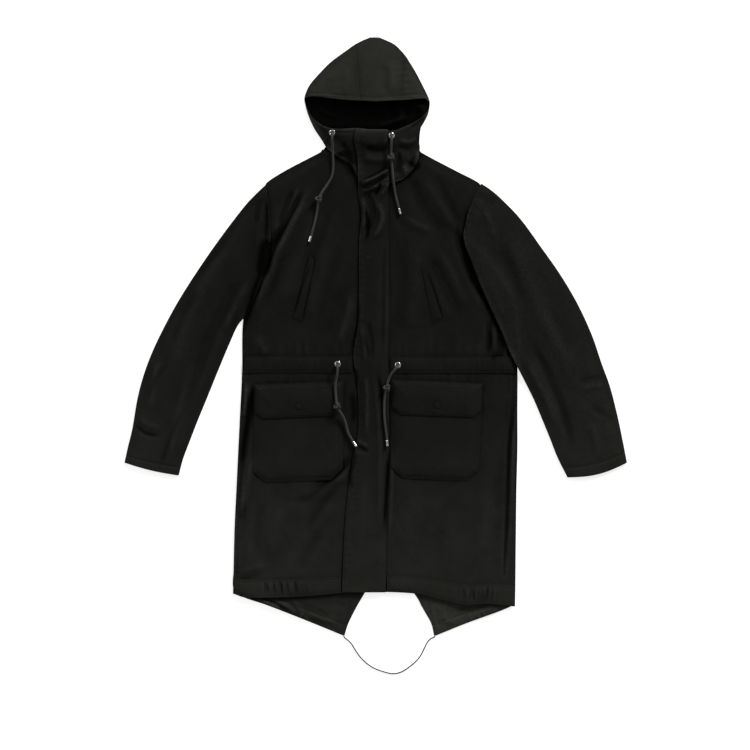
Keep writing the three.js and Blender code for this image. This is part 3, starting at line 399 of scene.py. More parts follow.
# %% [markdown]
# ## The pile
#
# Every layer lies on those below it. A map of heights, one square for each millimetre, holds the
# top of all that has been laid so far. A new layer takes the heights under it, spans the steps
# as cloth does, and is then added to the map. Cloth simulation would do this too, but forty
# layers at this size take far longer, and a map gives the same result each time.

# %% The pile
PILE = {"left": -560, "bottom": -730, "wide": 1120, "deep": 1390}
REACH = 2  # a layer keeps clear of what lies this near to it, in squares
SPAN = {"blur": 3, "turns": 10}  # how softly cloth comes down a step
pile = np.zeros((PILE["deep"], PILE["wide"]))
rest = pile.copy()  # what the panels of the present layer rest on


def next_layer():
    """From here on, panels rest on all that has been laid so far, and not on each other."""
    rest[:] = pile


def sample(heights, x, y):
    """The height between four squares, in proportion to how near each is."""
    i, j = np.asarray(y) - PILE["bottom"], np.asarray(x) - PILE["left"]
    a, b = np.floor(i).astype(int), np.floor(j).astype(int)
    s, t = i - a, j - b
    low = heights[a, b] * (1 - t) + heights[a, b + 1] * t
    high = heights[a + 1, b] * (1 - t) + heights[a + 1, b + 1] * t
    return low * (1 - s) + high * s


def widened(heights, reach):
    """Each square takes the highest value within reach, along one axis and then the other."""
    for axis in (0, 1):
        shifted = [np.roll(heights, step, axis) for step in range(-reach, reach + 1)]
        heights = np.max(shifted, axis=0)
    return heights


def blurred(heights, reach):
    """Each square takes the mean of those within reach, twice along each axis, by running sums."""
    for axis in (0, 1, 0, 1):
        padded = np.pad(heights, [(reach + 1, reach) if a == axis else (0, 0) for a in (0, 1)], "edge")
        total = np.cumsum(padded, axis=axis)
        wide = 2 * reach + 1
        ahead = np.take(total, np.arange(wide, total.shape[axis]), axis=axis)
        behind = np.take(total, np.arange(0, total.shape[axis] - wide), axis=axis)
        heights = (ahead - behind) / wide
    return heights


def ground(x, y, least=0.0, below=None, soft=0):
    """The height at which a layer's underside lies at each point: clear of the pile, and at each
    step spread softly by blurring it and lifting it back to the pile, again and again. With soft,
    the upper edge of a step is rounded too, over that many squares."""
    below = rest if below is None else below
    edge = 24
    left, right = int(x.min()) - PILE["left"] - edge, int(x.max()) - PILE["left"] + edge
    low, high = int(y.min()) - PILE["bottom"] - edge, int(y.max()) - PILE["bottom"] + edge
    window = (slice(max(low, 0), high), slice(max(left, 0), right))
    clear = widened(below[window], REACH)
    clear = np.maximum(clear + SEAM * (clear > 0), least)
    spanned = clear
    for _ in range(SPAN["turns"]):
        spanned = np.maximum(clear, blurred(spanned, SPAN["blur"]))
    if soft:
        spanned = blurred(widened(spanned, soft), soft - 1)
    heights = np.zeros_like(pile)
    heights[window] = spanned
    return sample(heights, x, y)


def pile_up(x, y, top):
    """Adds a finished layer to the pile: its grid is filled in to under a millimetre, and each
    square takes the highest of its own value and what falls on it."""
    gap = max(np.hypot(np.diff(x, axis=k), np.diff(y, axis=k)).max() for k in (0, 1))
    steps = int(np.ceil(gap / 0.8))
    share = np.linspace(0, 1, steps + 1)

    def filled(value, axis):
        value = np.moveaxis(value, axis, 0)
        between = value[:-1, None] + (value[1:] - value[:-1])[:, None] * share[:, None]
        return np.moveaxis(between.reshape(-1, value.shape[1]), 0, axis)

    x, y, top = (filled(filled(value, 0), 1) for value in (x, y, top))
    i, j = np.rint(y - PILE["bottom"]).astype(int), np.rint(x - PILE["left"]).astype(int)
    np.maximum.at(pile, (i.ravel(), j.ravel()), top.ravel())


# %% [markdown]
# ## Folds and creases
#
# The folds of a worn coat aren't random: they run from where it is held. Each one here is placed
# along a few listed points, with its own height and with a width for each of its sides, so that
# one flank can be steep. Noise alone would look like crumpled paper. A little noise comes on
# top, for the small unevenness between the folds.

# %% Folds and creases
def beside(path, x, y):
    """The signed distance of each point from a path, plus on its right, and the length along."""
    best, side, place = np.full(x.shape, np.inf), np.zeros(x.shape), np.zeros(x.shape)
    passed = 0.0
    for (ax, ay), (bx, by) in zip(path[:-1], path[1:]):
        dx, dy = bx - ax, by - ay
        length = math.hypot(dx, dy)
        t = np.clip(((x - ax) * dx + (y - ay) * dy) / length ** 2, 0, 1)
        away = np.hypot(x - ax - t * dx, y - ay - t * dy)
        nearer = away < best
        turned = np.sign((x - ax) * dy - (y - ay) * dx)
        best, side = np.where(nearer, away, best), np.where(nearer, turned, side)
        place = np.where(nearer, passed + t * length, place)
        passed += length
    return best * side, place, passed


def fold(x, y, height, left, right, points, fade=0.28):
    """A ridge, or with a negative height a trough: a bell curve over the distance from its path,
    with its own width on each side, that fades out towards both ends."""
    reach = 3 * max(left, right)
    path = softened(points, 5)
    near = ((x > path[:, 0].min() - reach) & (x < path[:, 0].max() + reach)
            & (y > path[:, 1].min() - reach) & (y < path[:, 1].max() + reach))
    raised = np.zeros(x.shape)
    if near.any():
        away, place, whole = beside(path, x[near], y[near])
        width = np.where(away < 0, left, right)
        ends = smooth(place / whole / fade) * smooth((1 - place / whole) / fade)
        raised[near] = height * ends * np.exp(-((away / width) ** 2))
    return raised


def folds(x, y, rows):
    return sum((fold(x, y, *row) for row in rows), np.zeros(x.shape))


def puckers(x, y, points, height, pace, reach, seed):
    """Small ripples that cross a seam: cosine waves along it, uneven in pace and height, that
    die out with the distance from it."""
    away, place, whole = beside(softened(points, 5), x, y)
    rng = np.random.default_rng(seed)
    knots = np.linspace(0, whole, max(3, int(whole / pace)))
    wander = np.interp(place, knots, rng.uniform(-0.35, 0.35, len(knots))) * 2 * math.pi
    size = np.interp(place, knots, rng.uniform(0.3, 1, len(knots)))
    ends = smooth(place / 12) * smooth((whole - place) / 12)
    wave = 0.5 + 0.5 * np.cos(2 * math.pi * place / pace + wander)
    return height * size * ends * wave * np.exp(-((away / reach) ** 2))


def channel(away, depth=0.5, width=2.2):
    """The groove that a line of sewing pulls into the cloth, at a distance from it."""
    return -depth * np.exp(-((away / width) ** 2))


LATTICE = 800  # values each way, enough for the whole coat at the smallest size


def rumple(x, y, size, seed, stretch=1.0, lean=0.0):
    """Smooth noise from -1 to 1: random values on a lattice of a given size, blended between its
    corners. stretch draws it out along a direction that leans from y."""
    c, s = math.cos(lean), math.sin(lean)
    p, q = (c * x + s * y) / size + LATTICE / 2, (c * y - s * x) / (size * stretch) + LATTICE / 2
    values = np.random.default_rng(seed).uniform(-1, 1, (LATTICE, LATTICE))
    a, b = np.floor(p).astype(int) % (LATTICE - 1), np.floor(q).astype(int) % (LATTICE - 1)
    u, v = smooth(p - np.floor(p)), smooth(q - np.floor(q))
    low = lerp(values[b, a], values[b, a + 1], u)
    return lerp(low, lerp(values[b + 1, a], values[b + 1, a + 1], u), v)


SEED = {
    "hood inside": 11, "crown": 21, "tails": 31, "fronts": 41, "hood lower": 61, "waist": 71,
    "welts": 111, "placket": 121, "sleeves": 131}


def unevenness(x, y, seed):
    """The small unevenness of washed canvas: broad swells, narrower dents and a few thin
    creases where the noise passes through zero."""
    broad = 0.55 * rumple(x, y, 46, seed, 1.8, 0.25) + 0.3 * rumple(x, y, 21, seed + 1, 1.5, -0.4)
    crease = -0.35 * np.exp(-((rumple(x, y, 58, seed + 2, 1.6, 0.5) / 0.07) ** 2))
    return broad + crease + 0.1 * rumple(x, y, 9, seed + 3)


# %% [markdown]
# ## A panel of cloth
#
# Each panel is a plan of two shares, u across and v along, that gives a place for each point of a
# grid. It lies on the pile, and its folds lift it. The top and the underside are the same grid, a
# thickness apart, and meet in a half round at the rim, as a turned edge does. Solidify would give
# square edges there, and the light on these edges is what shows where one panel ends.

# %% A panel of cloth
laid = {}  # each panel's grid, by its name
RIM = (0, 0.35, 1.0)  # extra rows at the rim, as shares of half the thickness, for the turned edge


def spaced(length, step, rim=CLOTH / 2):
    """Shares along a length: close together at both rims, and then about a step apart."""
    ends = np.array(RIM) * rim
    inner = np.linspace(2.4 * rim, length - 2.4 * rim, max(2, int(round(length / step))))
    return np.concatenate([ends, inner, length - ends[::-1]]) / length


def from_rims(x, y):
    """The distance of each point of a grid from its four rims, measured along the grid."""
    near = []
    for axis in (0, 1):
        pace = np.hypot(np.diff(x, axis=axis), np.diff(y, axis=axis))
        zero = np.zeros_like(np.take(x, [0], axis=axis))
        passed = np.concatenate([zero, np.cumsum(pace, axis=axis)], axis=axis)
        near.append(np.minimum(passed, np.take(passed, [-1], axis=axis) - passed))
    return near


def shell(name, x, y, top, thickness):
    """A closed wall of cloth: the grid of its top, the same grid lowered by its thickness, and a
    shared rim. Near the rim both surfaces curve to its middle as a quarter circle does."""
    rows, columns = x.shape
    radius = thickness / 2
    edge = np.clip(np.minimum(*from_rims(x, y)), 0, radius)
    turned = radius - np.sqrt(radius ** 2 - (radius - edge) ** 2)
    upper = np.stack([x, y, top - turned], -1).reshape(-1, 3)
    lower = np.stack([x, y, top - thickness + turned], -1)[1:-1, 1:-1].reshape(-1, 3)
    below = np.arange(rows * columns).reshape(rows, columns)
    below[1:-1, 1:-1] = rows * columns + np.arange((rows - 2) * (columns - 2)).reshape(rows - 2, columns - 2)
    top_faces = grid_faces(rows, columns).reshape(-1, 4)
    low_faces = below.ravel()[top_faces][:, ::-1]
    middle = (slice(rows // 2, rows // 2 + 2), slice(columns // 2, columns // 2 + 2))
    gx, gy = x[middle], y[middle]
    area = (gx[0, 1] - gx[0, 0]) * (gy[1, 0] - gy[0, 0]) - (gy[0, 1] - gy[0, 0]) * (gx[1, 0] - gx[0, 0])
    if area < 0:
        top_faces, low_faces = top_faces[:, ::-1], low_faces[:, ::-1]
    places, faces = np.vstack([upper, lower]), np.vstack([top_faces, low_faces])
    return make_piece(name, places, faces.tolist(), (places[:, :2] * MM)[faces.ravel()])


def plan_area(x, y):
    """The flat area of a grid: half the cross product of each cell's diagonals, added up."""
    ax, ay = x[1:, 1:] - x[:-1, :-1], y[1:, 1:] - y[:-1, :-1]
    bx, by = x[1:, :-1] - x[:-1, 1:], y[1:, :-1] - y[:-1, 1:]
    return float(np.abs(ax * by - ay * bx).sum() / 2)


def note(name, piece, area, x, y, top, points):
    """Adds a finished layer to the pile, and keeps its grid under its name."""
    pile_up(x, y, top)
    laid[name] = {
        "piece": piece, "area": area, "x": x, "y": y, "top": top, "points": points, "threads": []}


def panel(name, plan, across, lengthwise, form, thickness=CLOTH, least=0.0, thin=None):
    """Lays one panel: its place from the plan, its height from the pile and from form, which is
    given the place, the shares and the distances from the rims. Nothing sinks into the pile.
    thin is given the same and says how thick the wall is where it tapers."""
    u, v = np.meshgrid(across, lengthwise)
    x, y = plan(u, v)
    rims = from_rims(x, y)
    wall = thin(x, y, u, v, rims) if thin else np.full(x.shape, thickness)
    top = ground(x, y, least) + wall + np.maximum(form(x, y, u, v, rims), 0)
    piece = shell(name, x, y, top, wall)
    note(name, piece, plan_area(x, y), x, y, top, np.arange(x.size).reshape(x.shape))
    print(name, x.size, "points, top", round(float(top.max()), 1), "mm")


# %% [markdown]
# ## Topstitching
#
# Heavy black thread, about three stitches to the centimetre, holds every edge of the coat. Each
# stitch is a small bent bar that dips into the cloth at both ends. A bump pattern would be lighter
# but has no outline of its own, and a stitch of a few faces, repeated, is still light.

# %% Topstitching
STITCH = {"pitch": 3.2, "length": 2.6, "thick": 0.55, "rise": 0.28}
EDGE_ROW = 3  # how far from an edge its row of stitches runs


def stitches(name, x, y):
    """Notes a line of topstitching along a path on a panel, at the pile's height at this time."""
    line = paced(np.column_stack([x, y]), STITCH["pitch"])
    line = np.column_stack([line, sample(pile, line[:, 0], line[:, 1])])
    laid[name]["threads"].append(line)


def rim_line(plan, inset_by, side, across, lengthwise, ends=0.0):
    """A path on a panel beside one of its rims: the plan's place at a distance from the rim."""
    t = np.linspace(0, 1, 160)
    u, v = {
        "left": (inset_by / across, t), "right": (1 - inset_by / across, t),
        "top": (t, inset_by / lengthwise), "bottom": (t, 1 - inset_by / lengthwise),
    }[side]
    u, v = np.broadcast_arrays(np.asarray(u, float), np.asarray(v, float))
    if ends:
        keep = (u * across > ends) & ((1 - u) * across > ends)
        keep &= (v * lengthwise > ends) & ((1 - v) * lengthwise > ends)
        u, v = u[keep], v[keep]
    return plan(u, v)


def sew(name, lines):
    """One mesh of all the stitches along some lines: four rings of four points to a stitch, whose
    height is an arch, placed at each middle between two marks and turned along the line."""
    a, b = np.vstack([line[:-1] for line in lines]), np.vstack([line[1:] for line in lines])
    ahead = b - a
    length = np.linalg.norm(ahead, axis=1)
    ahead = (ahead.T / length).T
    side = np.cross(ahead, (0, 0, 1.0))
    up = np.cross(side, ahead)
    along_by = np.array([-0.5, -0.28, 0.28, 0.5]) * STITCH["length"]
    lift = np.array([-0.5, 0.5, 0.5, -0.5]) * STITCH["rise"]
    ring = np.array([(1, 0), (0, 1), (-1, 0), (0, -1)]) * STITCH["thick"] / 2
    middle = (a + b) / 2 + up * STITCH["rise"] / 2
    points = (middle[:, None, None] + ahead[:, None, None] * along_by[None, :, None, None]
              + up[:, None, None] * (lift[:, None] + ring[None, :, 1])[None, ..., None]
              + side[:, None, None] * ring[None, None, :, 0, None])
    one = grid_faces(4, 4, wrap=True).reshape(-1, 4)
    one = np.vstack([one, [[3, 2, 1, 0], [12, 13, 14, 15]]])
    faces = (one[None] + 16 * np.arange(len(a))[:, None, None]).reshape(-1, 4)
    piece = make_piece(name, points.reshape(-1, 3), faces.tolist(), np.zeros((faces.size, 2)))
    print(name, len(a), "stitches")
    return piece


# %% [markdown]
# ## The coat's own folds
#
# Each row is one fold: its height, the widths of its left and its right flank, and the points
# that it runs along, all in millimetres. A negative height is a trough.

# %% The coat's own folds
FRONT_FOLDS = [
    # The long ridge from the right shoulder to the side, steep towards the sleeve
    (8.2, 14, 6, [(-131, 322), (-152, 287), (-175, 245), (-194, 207), (-209, 175), (-219, 146),
     (-232, 117), (-243, 89), (-257, 58), (-270, 22)]),
    # The hollow beside it, down to the armpit
    (-6.8, 9, 9, [(-154, 308), (-186, 240), (-205, 207), (-226, 177)]),
    (-3.5, 6, 6, [(-171, 312), (-182, 287), (-192, 257), (-203, 232)]),
    (3, 6, 5, [(-161, 316), (-175, 280), (-192, 245)]),
    # The pit of the right arm
    (-8.1, 12, 12, [(-230, 207), (-234, 177), (-238, 148), (-249, 119)]),
    (-2.2, 9, 9, [(-188, 182), (-203, 140), (-219, 96), (-238, 56)]),
    (-2.7, 18, 16, [(-72, 108), (-91, 45), (-112, -18)]),
    (3.5, 12, 9, [(-49, 93), (-62, 30), (-83, -28)]),
    (2.4, 16, 16, [(-121, 276), (-148, 203), (-180, 119), (-201, 35)]),
    (-2, 9, 12, [(-96, 287), (-112, 213), (-159, 98)]),
    (2.2, 10, 10, [(-249, 3), (-238, -24), (-222, -41)]),
    # Drag lines from the left shoulder to the front
    (-3.4, 9, 10, [(72, 345), (90, 292), (115, 250), (150, 212)]),
    (-2.2, 9, 9, [(126, 345), (146, 298), (171, 249), (190, 215)]),
    (2.4, 11, 11, [(100, 345), (120, 300), (148, 257), (176, 218)]),
    (2.2, 8, 10, [(56, 255), (85, 236), (123, 219)]),
    (-3.2, 10, 10, [(108, 177), (135, 125), (156, 81), (184, 30)]),
    (2.7, 10, 12, [(135, 186), (167, 119), (194, 56)]),
    # The pit of the left arm
    (-8.1, 8, 10, [(169, 232), (182, 190), (198, 148), (215, 110), (236, 68)]),
    (-4.1, 6, 6, [(240, 39), (238, -7), (236, -45)]),
    (2, 5, 6, [(249, 30), (247, -12), (245, -49)]),
    (-6.1, 6, 7, [(259, 5), (264, -24), (257, -62)]),
    (2, 5, 5, [(274, -33), (272, -58), (270, -79)]),
    (-2.2, 14, 14, [(60, 203), (56, 98), (47, -18)]),
    (2.2, 20, 20, [(93, 219), (85, 98), (77, -18)]),
    (-1.8, 12, 10, [(-70, 210), (-95, 120), (-118, 30), (-130, -20)]),
    (1.8, 14, 14, [(-100, 200), (-125, 110), (-146, 30)]),
    # The trough down the right side of the skirt
    (-7.4, 6, 9, [(-255, -100), (-261, -144), (-270, -196), (-278, -249), (-282, -291)]),
    (5.4, 9, 7, [(-270, -91), (-276, -133), (-285, -186)]),
    (4.9, 10, 12, [(-253, -238), (-268, -297), (-280, -348), (-289, -396)]),
    (-2.4, 6, 8, [(-272, -343), (-280, -385), (-291, -438)]),
    # Drag lines under the waist cord
    (-4.1, 7, 8, [(-45, -243), (-66, -272), (-100, -299), (-140, -320)]),
    (3.5, 9, 9, [(-54, -272), (-79, -303), (-121, -331), (-163, -343)]),
    (-2.4, 8, 9, [(-66, -297), (-104, -322), (-142, -339), (-180, -350)]),
    (2.7, 16, 16, [(-83, -343), (-121, -385), (-159, -438)]),
    (-2.4, 13, 14, [(-112, -402), (-138, -448), (-165, -499)]),
    (2.4, 14, 14, [(-190, -343), (-209, -406), (-222, -469)]),
    (-2, 10, 12, [(-238, -343), (-247, -406), (-251, -469)]),
    (-1.6, 7, 8, [(-292, -522), (-268, -508), (-236, -498)]),
    (1.5, 8, 8, [(-289, -499), (-264, -486), (-225, -480)]),
    # The side seam, drawn in under the left pocket
    (-3.2, 3, 5, [(289, -83), (291, -133), (282, -222), (278, -343), (276, -406), (268, -495)]),
    (2.7, 6, 7, [(293, -100), (295, -175), (289, -280), (289, -385)]),
    (-1.9, 12, 12, [(259, -217), (261, -343), (249, -469)]),
    (2.2, 16, 16, [(236, -280), (228, -385), (219, -490)]),
    (-1.6, 16, 16, [(167, -322), (135, -406), (127, -490)]),
    (1.9, 20, 20, [(83, -322), (72, -406), (77, -490)]),
    (2.6, 4, 8, [(36, -228), (35, -300), (32, -380), (28, -440)]),
]
PLACKET_FOLDS = [
    # Crisp folds where the collar bends down
    (4.6, 4, 4, [(-33, 320), (-7, 331), (18, 345), (35, 356)]),
    (-3.5, 4, 3.5, [(-33, 310), (-7, 320), (18, 335), (33, 343)]),
    (4.1, 4, 4, [(-33, 301), (-9, 310), (9, 318)]),
    (-2.7, 4, 4, [(-3, 295), (5, 308), (12, 322)]),
    (2.4, 4, 4, [(9, 293), (20, 308), (28, 324)]),
    # The long hollow below the collar
    (-6.8, 4.5, 6, [(-18, 303), (-9, 280), (-5, 253), (-12, 232), (-22, 215)]),
    (4.6, 7, 6, [(1, 287), (14, 255), (7, 224), (-9, 203)]),
    (3.2, 4, 4, [(-28, 295), (-24, 257), (-28, 219)]),
    (-3.2, 8, 7, [(-24, 398), (-1, 392), (26, 402)]),
    (2.7, 8, 7, [(-28, 377), (-3, 371), (26, 375)]),
    (-1.8, 4, 5, [(19, 225), (18, 100), (16, 0), (17, -60)]),
    (-2.2, 5, 5, [(-18, 39), (-9, -3), (-5, -54)]),
    (2.2, 5, 5, [(-30, 30), (-24, -16), (-20, -58)]),
    (-3.5, 5, 5, [(-41, -66), (-37, -117), (-41, -175), (-49, -217)]),
    (3, 6, 5, [(-22, -75), (-18, -133), (-20, -217)]),
    (1.6, 7, 4, [(-7, -58), (-3, -91), (4, -154), (8, -238), (8, -343), (6, -427)]),
    (-2.7, 4, 4, [(-43, -230), (-28, -236), (-14, -245)]),
    (2.2, 4, 4, [(-41, -219), (-26, -226), (-14, -234)]),
    (1.6, 12, 12, [(-20, -280), (-28, -364), (-33, -469)]),
]
RIGHT_SLEEVE_FOLDS = [
    # The hollow along the upper edge
    (-3.5, 10, 10, [(-272, 293), (-297, 247), (-324, 196), (-358, 148), (-392, 100)]),
    # The broad swell down the middle
    (4.5, 24, 22, [(-293, 213), (-339, 140), (-381, 56), (-415, -33), (-440, -133)]),
    (-3.8, 10, 11, [(-285, 129), (-310, 77), (-343, 7), (-373, -75), (-396, -144)]),
    (3.2, 9, 9, [(-268, 123), (-293, 66), (-322, 3)]),
    (-2.6, 9, 9, [(-377, 98), (-406, 39), (-432, -24)]),
    # The crease at the elbow
    (-2.2, 4, 4.5, [(-512, -176), (-494, -195), (-478, -205), (-450, -208)]),
    (1.6, 5, 6, [(-506, -160), (-482, -182), (-448, -193)]),
    (-2, 6, 6, [(-402, -150), (-425, -200), (-440, -238), (-458, -290)]),
    (2.4, 10, 9, [(-452, -40), (-466, -95), (-470, -130), (-478, -165)]),
    (-1.9, 8, 8, [(-360, -140), (-380, -190), (-396, -240), (-412, -290)]),
    (2.4, 10, 9, [(-390, -80), (-408, -140), (-422, -200), (-436, -270)]),
    (-1.9, 7, 8, [(-440, -54), (-465, -100), (-484, -142)]),
    (-2.9, 5, 5, [(-236, 295), (-247, 266), (-251, 232)]),
]
LEFT_SLEEVE_FOLDS = [
    # The long fold down the inner side
    (-3.2, 8, 9, [(324, -7), (354, -62), (379, -112), (400, -175), (413, -249)]),
    (2.6, 11, 10, [(299, -18), (333, -83), (362, -138), (383, -209)]),
    (3.5, 22, 22, [(261, 255), (303, 156), (345, 56), (392, -33), (429, -133)]),
    (-2.6, 14, 14, [(255, 198), (287, 127), (308, 64)]),
    (-1.5, 7, 7, [(424, -96), (453, -91), (482, -83)]),
    (1.4, 6, 6, [(430, -110), (455, -106), (484, -99)]),
    (-1.6, 6, 6, [(452, -146), (480, -165), (508, -180)]),
    (-2.2, 8, 8, [(215, 303), (232, 289), (253, 278)]),
    (2.6, 8, 8, [(224, 274), (240, 240), (253, 203)]),
    (-2.1, 10, 10, [(356, 77), (387, 14), (413, -41)]),
    (2.1, 9, 9, [(450, -175), (463, -217), (471, -264)]),
]
HOOD_FOLDS = [
    (2.5, 10, 10, [(35, 581), (35, 543), (33, 505)]),
    (-2.4, 8, 9, [(16, 576), (22, 539), (18, 503)]),
    (1.9, 9, 9, [(-62, 568), (-62, 534), (-64, 501)]),
    (-1.9, 12, 12, [(-93, 543), (-100, 518), (-104, 503)]),
    (-2, 9, 9, [(58, 585), (66, 547), (72, 509)]),
    (2, 14, 14, [(-7, 602), (-20, 560), (-28, 518)]),
]
HOOD_LOWER_FOLDS = [
    # The neck seam on the right stands off the coat
    (4.2, 6, 5, [(-87, 392), (-70, 381), (-54, 364), (-41, 337)]),
    (-2.8, 6, 6, [(-72, 408), (-62, 392), (-49, 375)]),
    (2.2, 7, 7, [(-112, 421), (-96, 408), (-79, 392)]),
    (-2, 5, 5, [(-121, 438), (-106, 419), (-91, 392)]),
    # Lobes of the left neck seam
    (4.2, 7, 7, [(56, 362), (64, 345), (70, 329)]),
    (-3.6, 5, 5, [(49, 392), (49, 362), (45, 337)]),
    (-3.4, 5, 5, [(77, 392), (77, 371), (75, 350)]),
    (3.4, 5, 5, [(47, 413), (68, 408), (89, 417)]),
    (-2.5, 4, 5, [(43, 400), (64, 394), (87, 398)]),
    (2.5, 6, 6, [(87, 396), (87, 379), (83, 358)]),
    (-2, 5, 5, [(68, 440), (85, 446), (100, 463)]),
]
HOOD_INSIDE_FOLDS = [
    (5.5, 7, 8, [(43, 490), (56, 476), (51, 455), (39, 440)]),
    (6.6, 8, 8, [(72, 492), (91, 484), (102, 471), (89, 453)]),
    (5, 5, 6, [(-7, 442), (22, 446), (51, 455), (81, 467)]),
    (4.4, 6, 6, [(20, 488), (26, 471), (22, 450)]),
    (3.3, 7, 7, [(-121, 488), (-104, 471), (-75, 459)]),
    (-1.7, 5, 5, [(62, 488), (70, 471), (64, 453)]),
]
TAIL_FOLDS = [
    (3.9, 5, 5, [(-253, -549), (-226, -560), (-196, -576)]),
    (-3.1, 4, 4, [(-245, -543), (-211, -560), (-180, -579)]),
    (3.9, 6, 6, [(-217, -558), (-188, -566), (-159, -589)]),
    (2.9, 5, 5, [(-175, -553), (-159, -574), (-148, -600)]),
    (-2.6, 5, 5, [(-159, -562), (-121, -579), (-96, -591)]),
    (2.6, 7, 7, [(-148, -579), (-112, -593), (-79, -600)]),
    (-1.8, 5, 5, [(-133, -558), (-96, -562), (-58, -566)]),
    (2.1, 6, 6, [(156, -566), (198, -562), (236, -566)]),
    (-2.3, 5, 5, [(167, -579), (203, -576), (240, -570)]),
    (2.1, 7, 7, [(135, -587), (161, -600), (182, -595)]),
    (-1.8, 5, 5, [(119, -570), (131, -591), (135, -612)]),
    (1.6, 6, 6, [(211, -579), (232, -574), (255, -568)]),
]

# %% [markdown]
# ## The back
#
# The coat lies on its back, so this layer is flat. It shows only below the front's hem, where it
# parts into two long tails. Each tail has a casing along its sloping hem, drawn in by a cord,
# which leaves small gathers. The back of the hood lies above it, and its inside shows through
# the face opening, with a few soft folds.

# %% The back
TAIL_HEM = 22  # how wide the casing along a tail's hem is
TAIL_GATHERS = {"height": 2.4, "pace": 13, "reach": 15}
# A half's size, and the share of its length from which the tail shows and has rows of its own
BACK = {"wide": 300, "long": NECK_Y - TAIL_Y, "tail_from": 0.885, "tail_rows": 48}


def flat_or_folded(rows, strength=1.0, seed=0):
    """The form of a piece with nothing but folds and the small unevenness of its cloth."""
    def form(x, y, u, v, rims):
        held = smooth(np.minimum(*rims) / 7)
        return held * (folds(x, y, rows) + 0.5 * strength * (1 + unevenness(x, y, seed)))
    return form


def hood_back_plan(u, v):
    y = lerp(CROWN_Y, NECK_Y, v)
    return lerp(hood_right(y), hood_left(y), u), y


def back_plan(side):
    sign, tail = (-1, RIGHT_TAIL) if side == "right" else (1, LEFT_TAIL)
    outer_tail, inner_tail = curve(tail, "y", "outer"), curve(tail, "y", "inner")
    outer_body = body_right if side == "right" else body_left
    tail_top = tail["y"][0]

    def middle(y):
        seam = lerp(BACK_SEAM["neck"], BACK_SEAM["vent"], (NECK_Y - y) / (NECK_Y - VENT_Y))
        return seam + sign * SEAM / 2

    def plan(u, v):
        y = lerp(NECK_Y, TAIL_Y, v)
        vent = lerp(middle(VENT_Y), tail["inner"][0], (VENT_Y - y) / (VENT_Y - tail_top))
        inner = np.where(y > VENT_Y, middle(y), np.where(y > tail_top, vent, inner_tail(y)))
        return lerp(np.where(y > tail_top, outer_body(y), outer_tail(y)), inner, u), y

    return plan


def tail_hem(side):
    """The sloping hem of a tail, from the coat's side to its tip."""
    tail = RIGHT_TAIL if side == "right" else LEFT_TAIL
    return np.column_stack([tail["outer"], tail["y"]])[1:]


def tail_form(side):
    hem = tail_hem(side)

    def form(x, y, u, v, rims):
        shows = smooth((HEM_Y + 14 - y) / 16)
        away = np.abs(beside(hem, x, y)[0])
        gathers = puckers(x, y, hem[1:-1], seed=3, **TAIL_GATHERS)
        casing = 0.5 * smooth((TAIL_HEM - away) / 8) + channel(away - TAIL_HEM, 0.8, 2.5)
        held = smooth(rims[1] / 5)
        small = 0.9 + 0.8 * unevenness(x, y, SEED["tails"])
        return shows * held * (folds(x, y, TAIL_FOLDS) + gathers + casing + small)

    return form


def tapered(side, least=0.7, over=6, thickness=CLOTH, where=None):
    """A wall that tapers towards some of its rims, so that the seam there hardly shows."""
    def thin(x, y, u, v, rims):
        near = {"sides": rims[1], "ends": rims[0], "all": np.minimum(*rims),
                "left": np.where(u > 0.5, rims[1], over), "top": np.where(v < 0.5, rims[0], over)}
        share = (1 - smooth(near[side] / over)) * (where(x, y) if where else 1)
        return thickness - (thickness - least) * share
    return thin


HOOD_INSIDE = flat_or_folded(HOOD_INSIDE_FOLDS, 0.6, SEED["hood inside"])
panel("hood_back_inside", hood_back_plan, spaced(250, 4), spaced(CROWN_Y - NECK_Y, 4), HOOD_INSIDE)
for side in ("right", "left"):
    body_rows = spaced(BACK["long"], 9)
    body_rows = body_rows[body_rows < BACK["tail_from"]]
    tail_rows = np.linspace(BACK["tail_from"], 1 - 0.4 / BACK["long"], BACK["tail_rows"])
    name = "back_" + side + "_cloth"
    levels = np.concatenate([body_rows, tail_rows, [1.0]])
    panel(name, back_plan(side), spaced(BACK["wide"], 4.6), levels, tail_form(side))
    hem = paced(tail_hem(side), 3)
    slope = np.gradient(hem, axis=0)
    slope /= np.linalg.norm(slope, axis=1)[:, None]
    inward = np.column_stack([-slope[:, 1], slope[:, 0]]) * (1 if side == "right" else -1)
    keep = slice(10, -16)
    for distance in (EDGE_ROW, TAIL_HEM):
        stitches(name, *(hem + inward * distance)[keep].T)
    vent = back_plan(side)(np.full(60, 1 - 9 / 100), np.linspace(0.895, 0.975, 60))
    stitches(name, *vent)

# %% [markdown]
# ## The hood's crown
#
# The hood has two sides and a strip between them. Laid flat, its upper half rises to the brim,
# which stands off the layer below and is hemmed with one row of stitching. A hood could be
# modelled as a ball and flattened, but its seams would then be hard to place: here each of the
# three pieces is its own panel between the outline and the brim.

# %% The hood's crown
LIP = {"rise": 7, "fade": 60}
BRIM = {"rise": 17, "fade": 0.8, "climb": 1.3, "hem": 9}
HOOD_UPPER = {"hood_upper_right": (0, 0.4), "hood_centre": (0.401, 0.69), "hood_upper_left": (0.691, 1)}
HOOD_UPPER_SIZE = {"round": 370, "deep": 134}
HOOD_ROW = 5  # how far from a seam of the hood its row of stitches runs
crown_at = along(CROWN)


def crown_plan(start, end):
    def plan(u, v):
        row = crown_at(lerp(start, end, u))
        return lerp(row["edgeX"], row["brimX"], v), lerp(row["edgeY"], row["brimY"], v)
    return plan


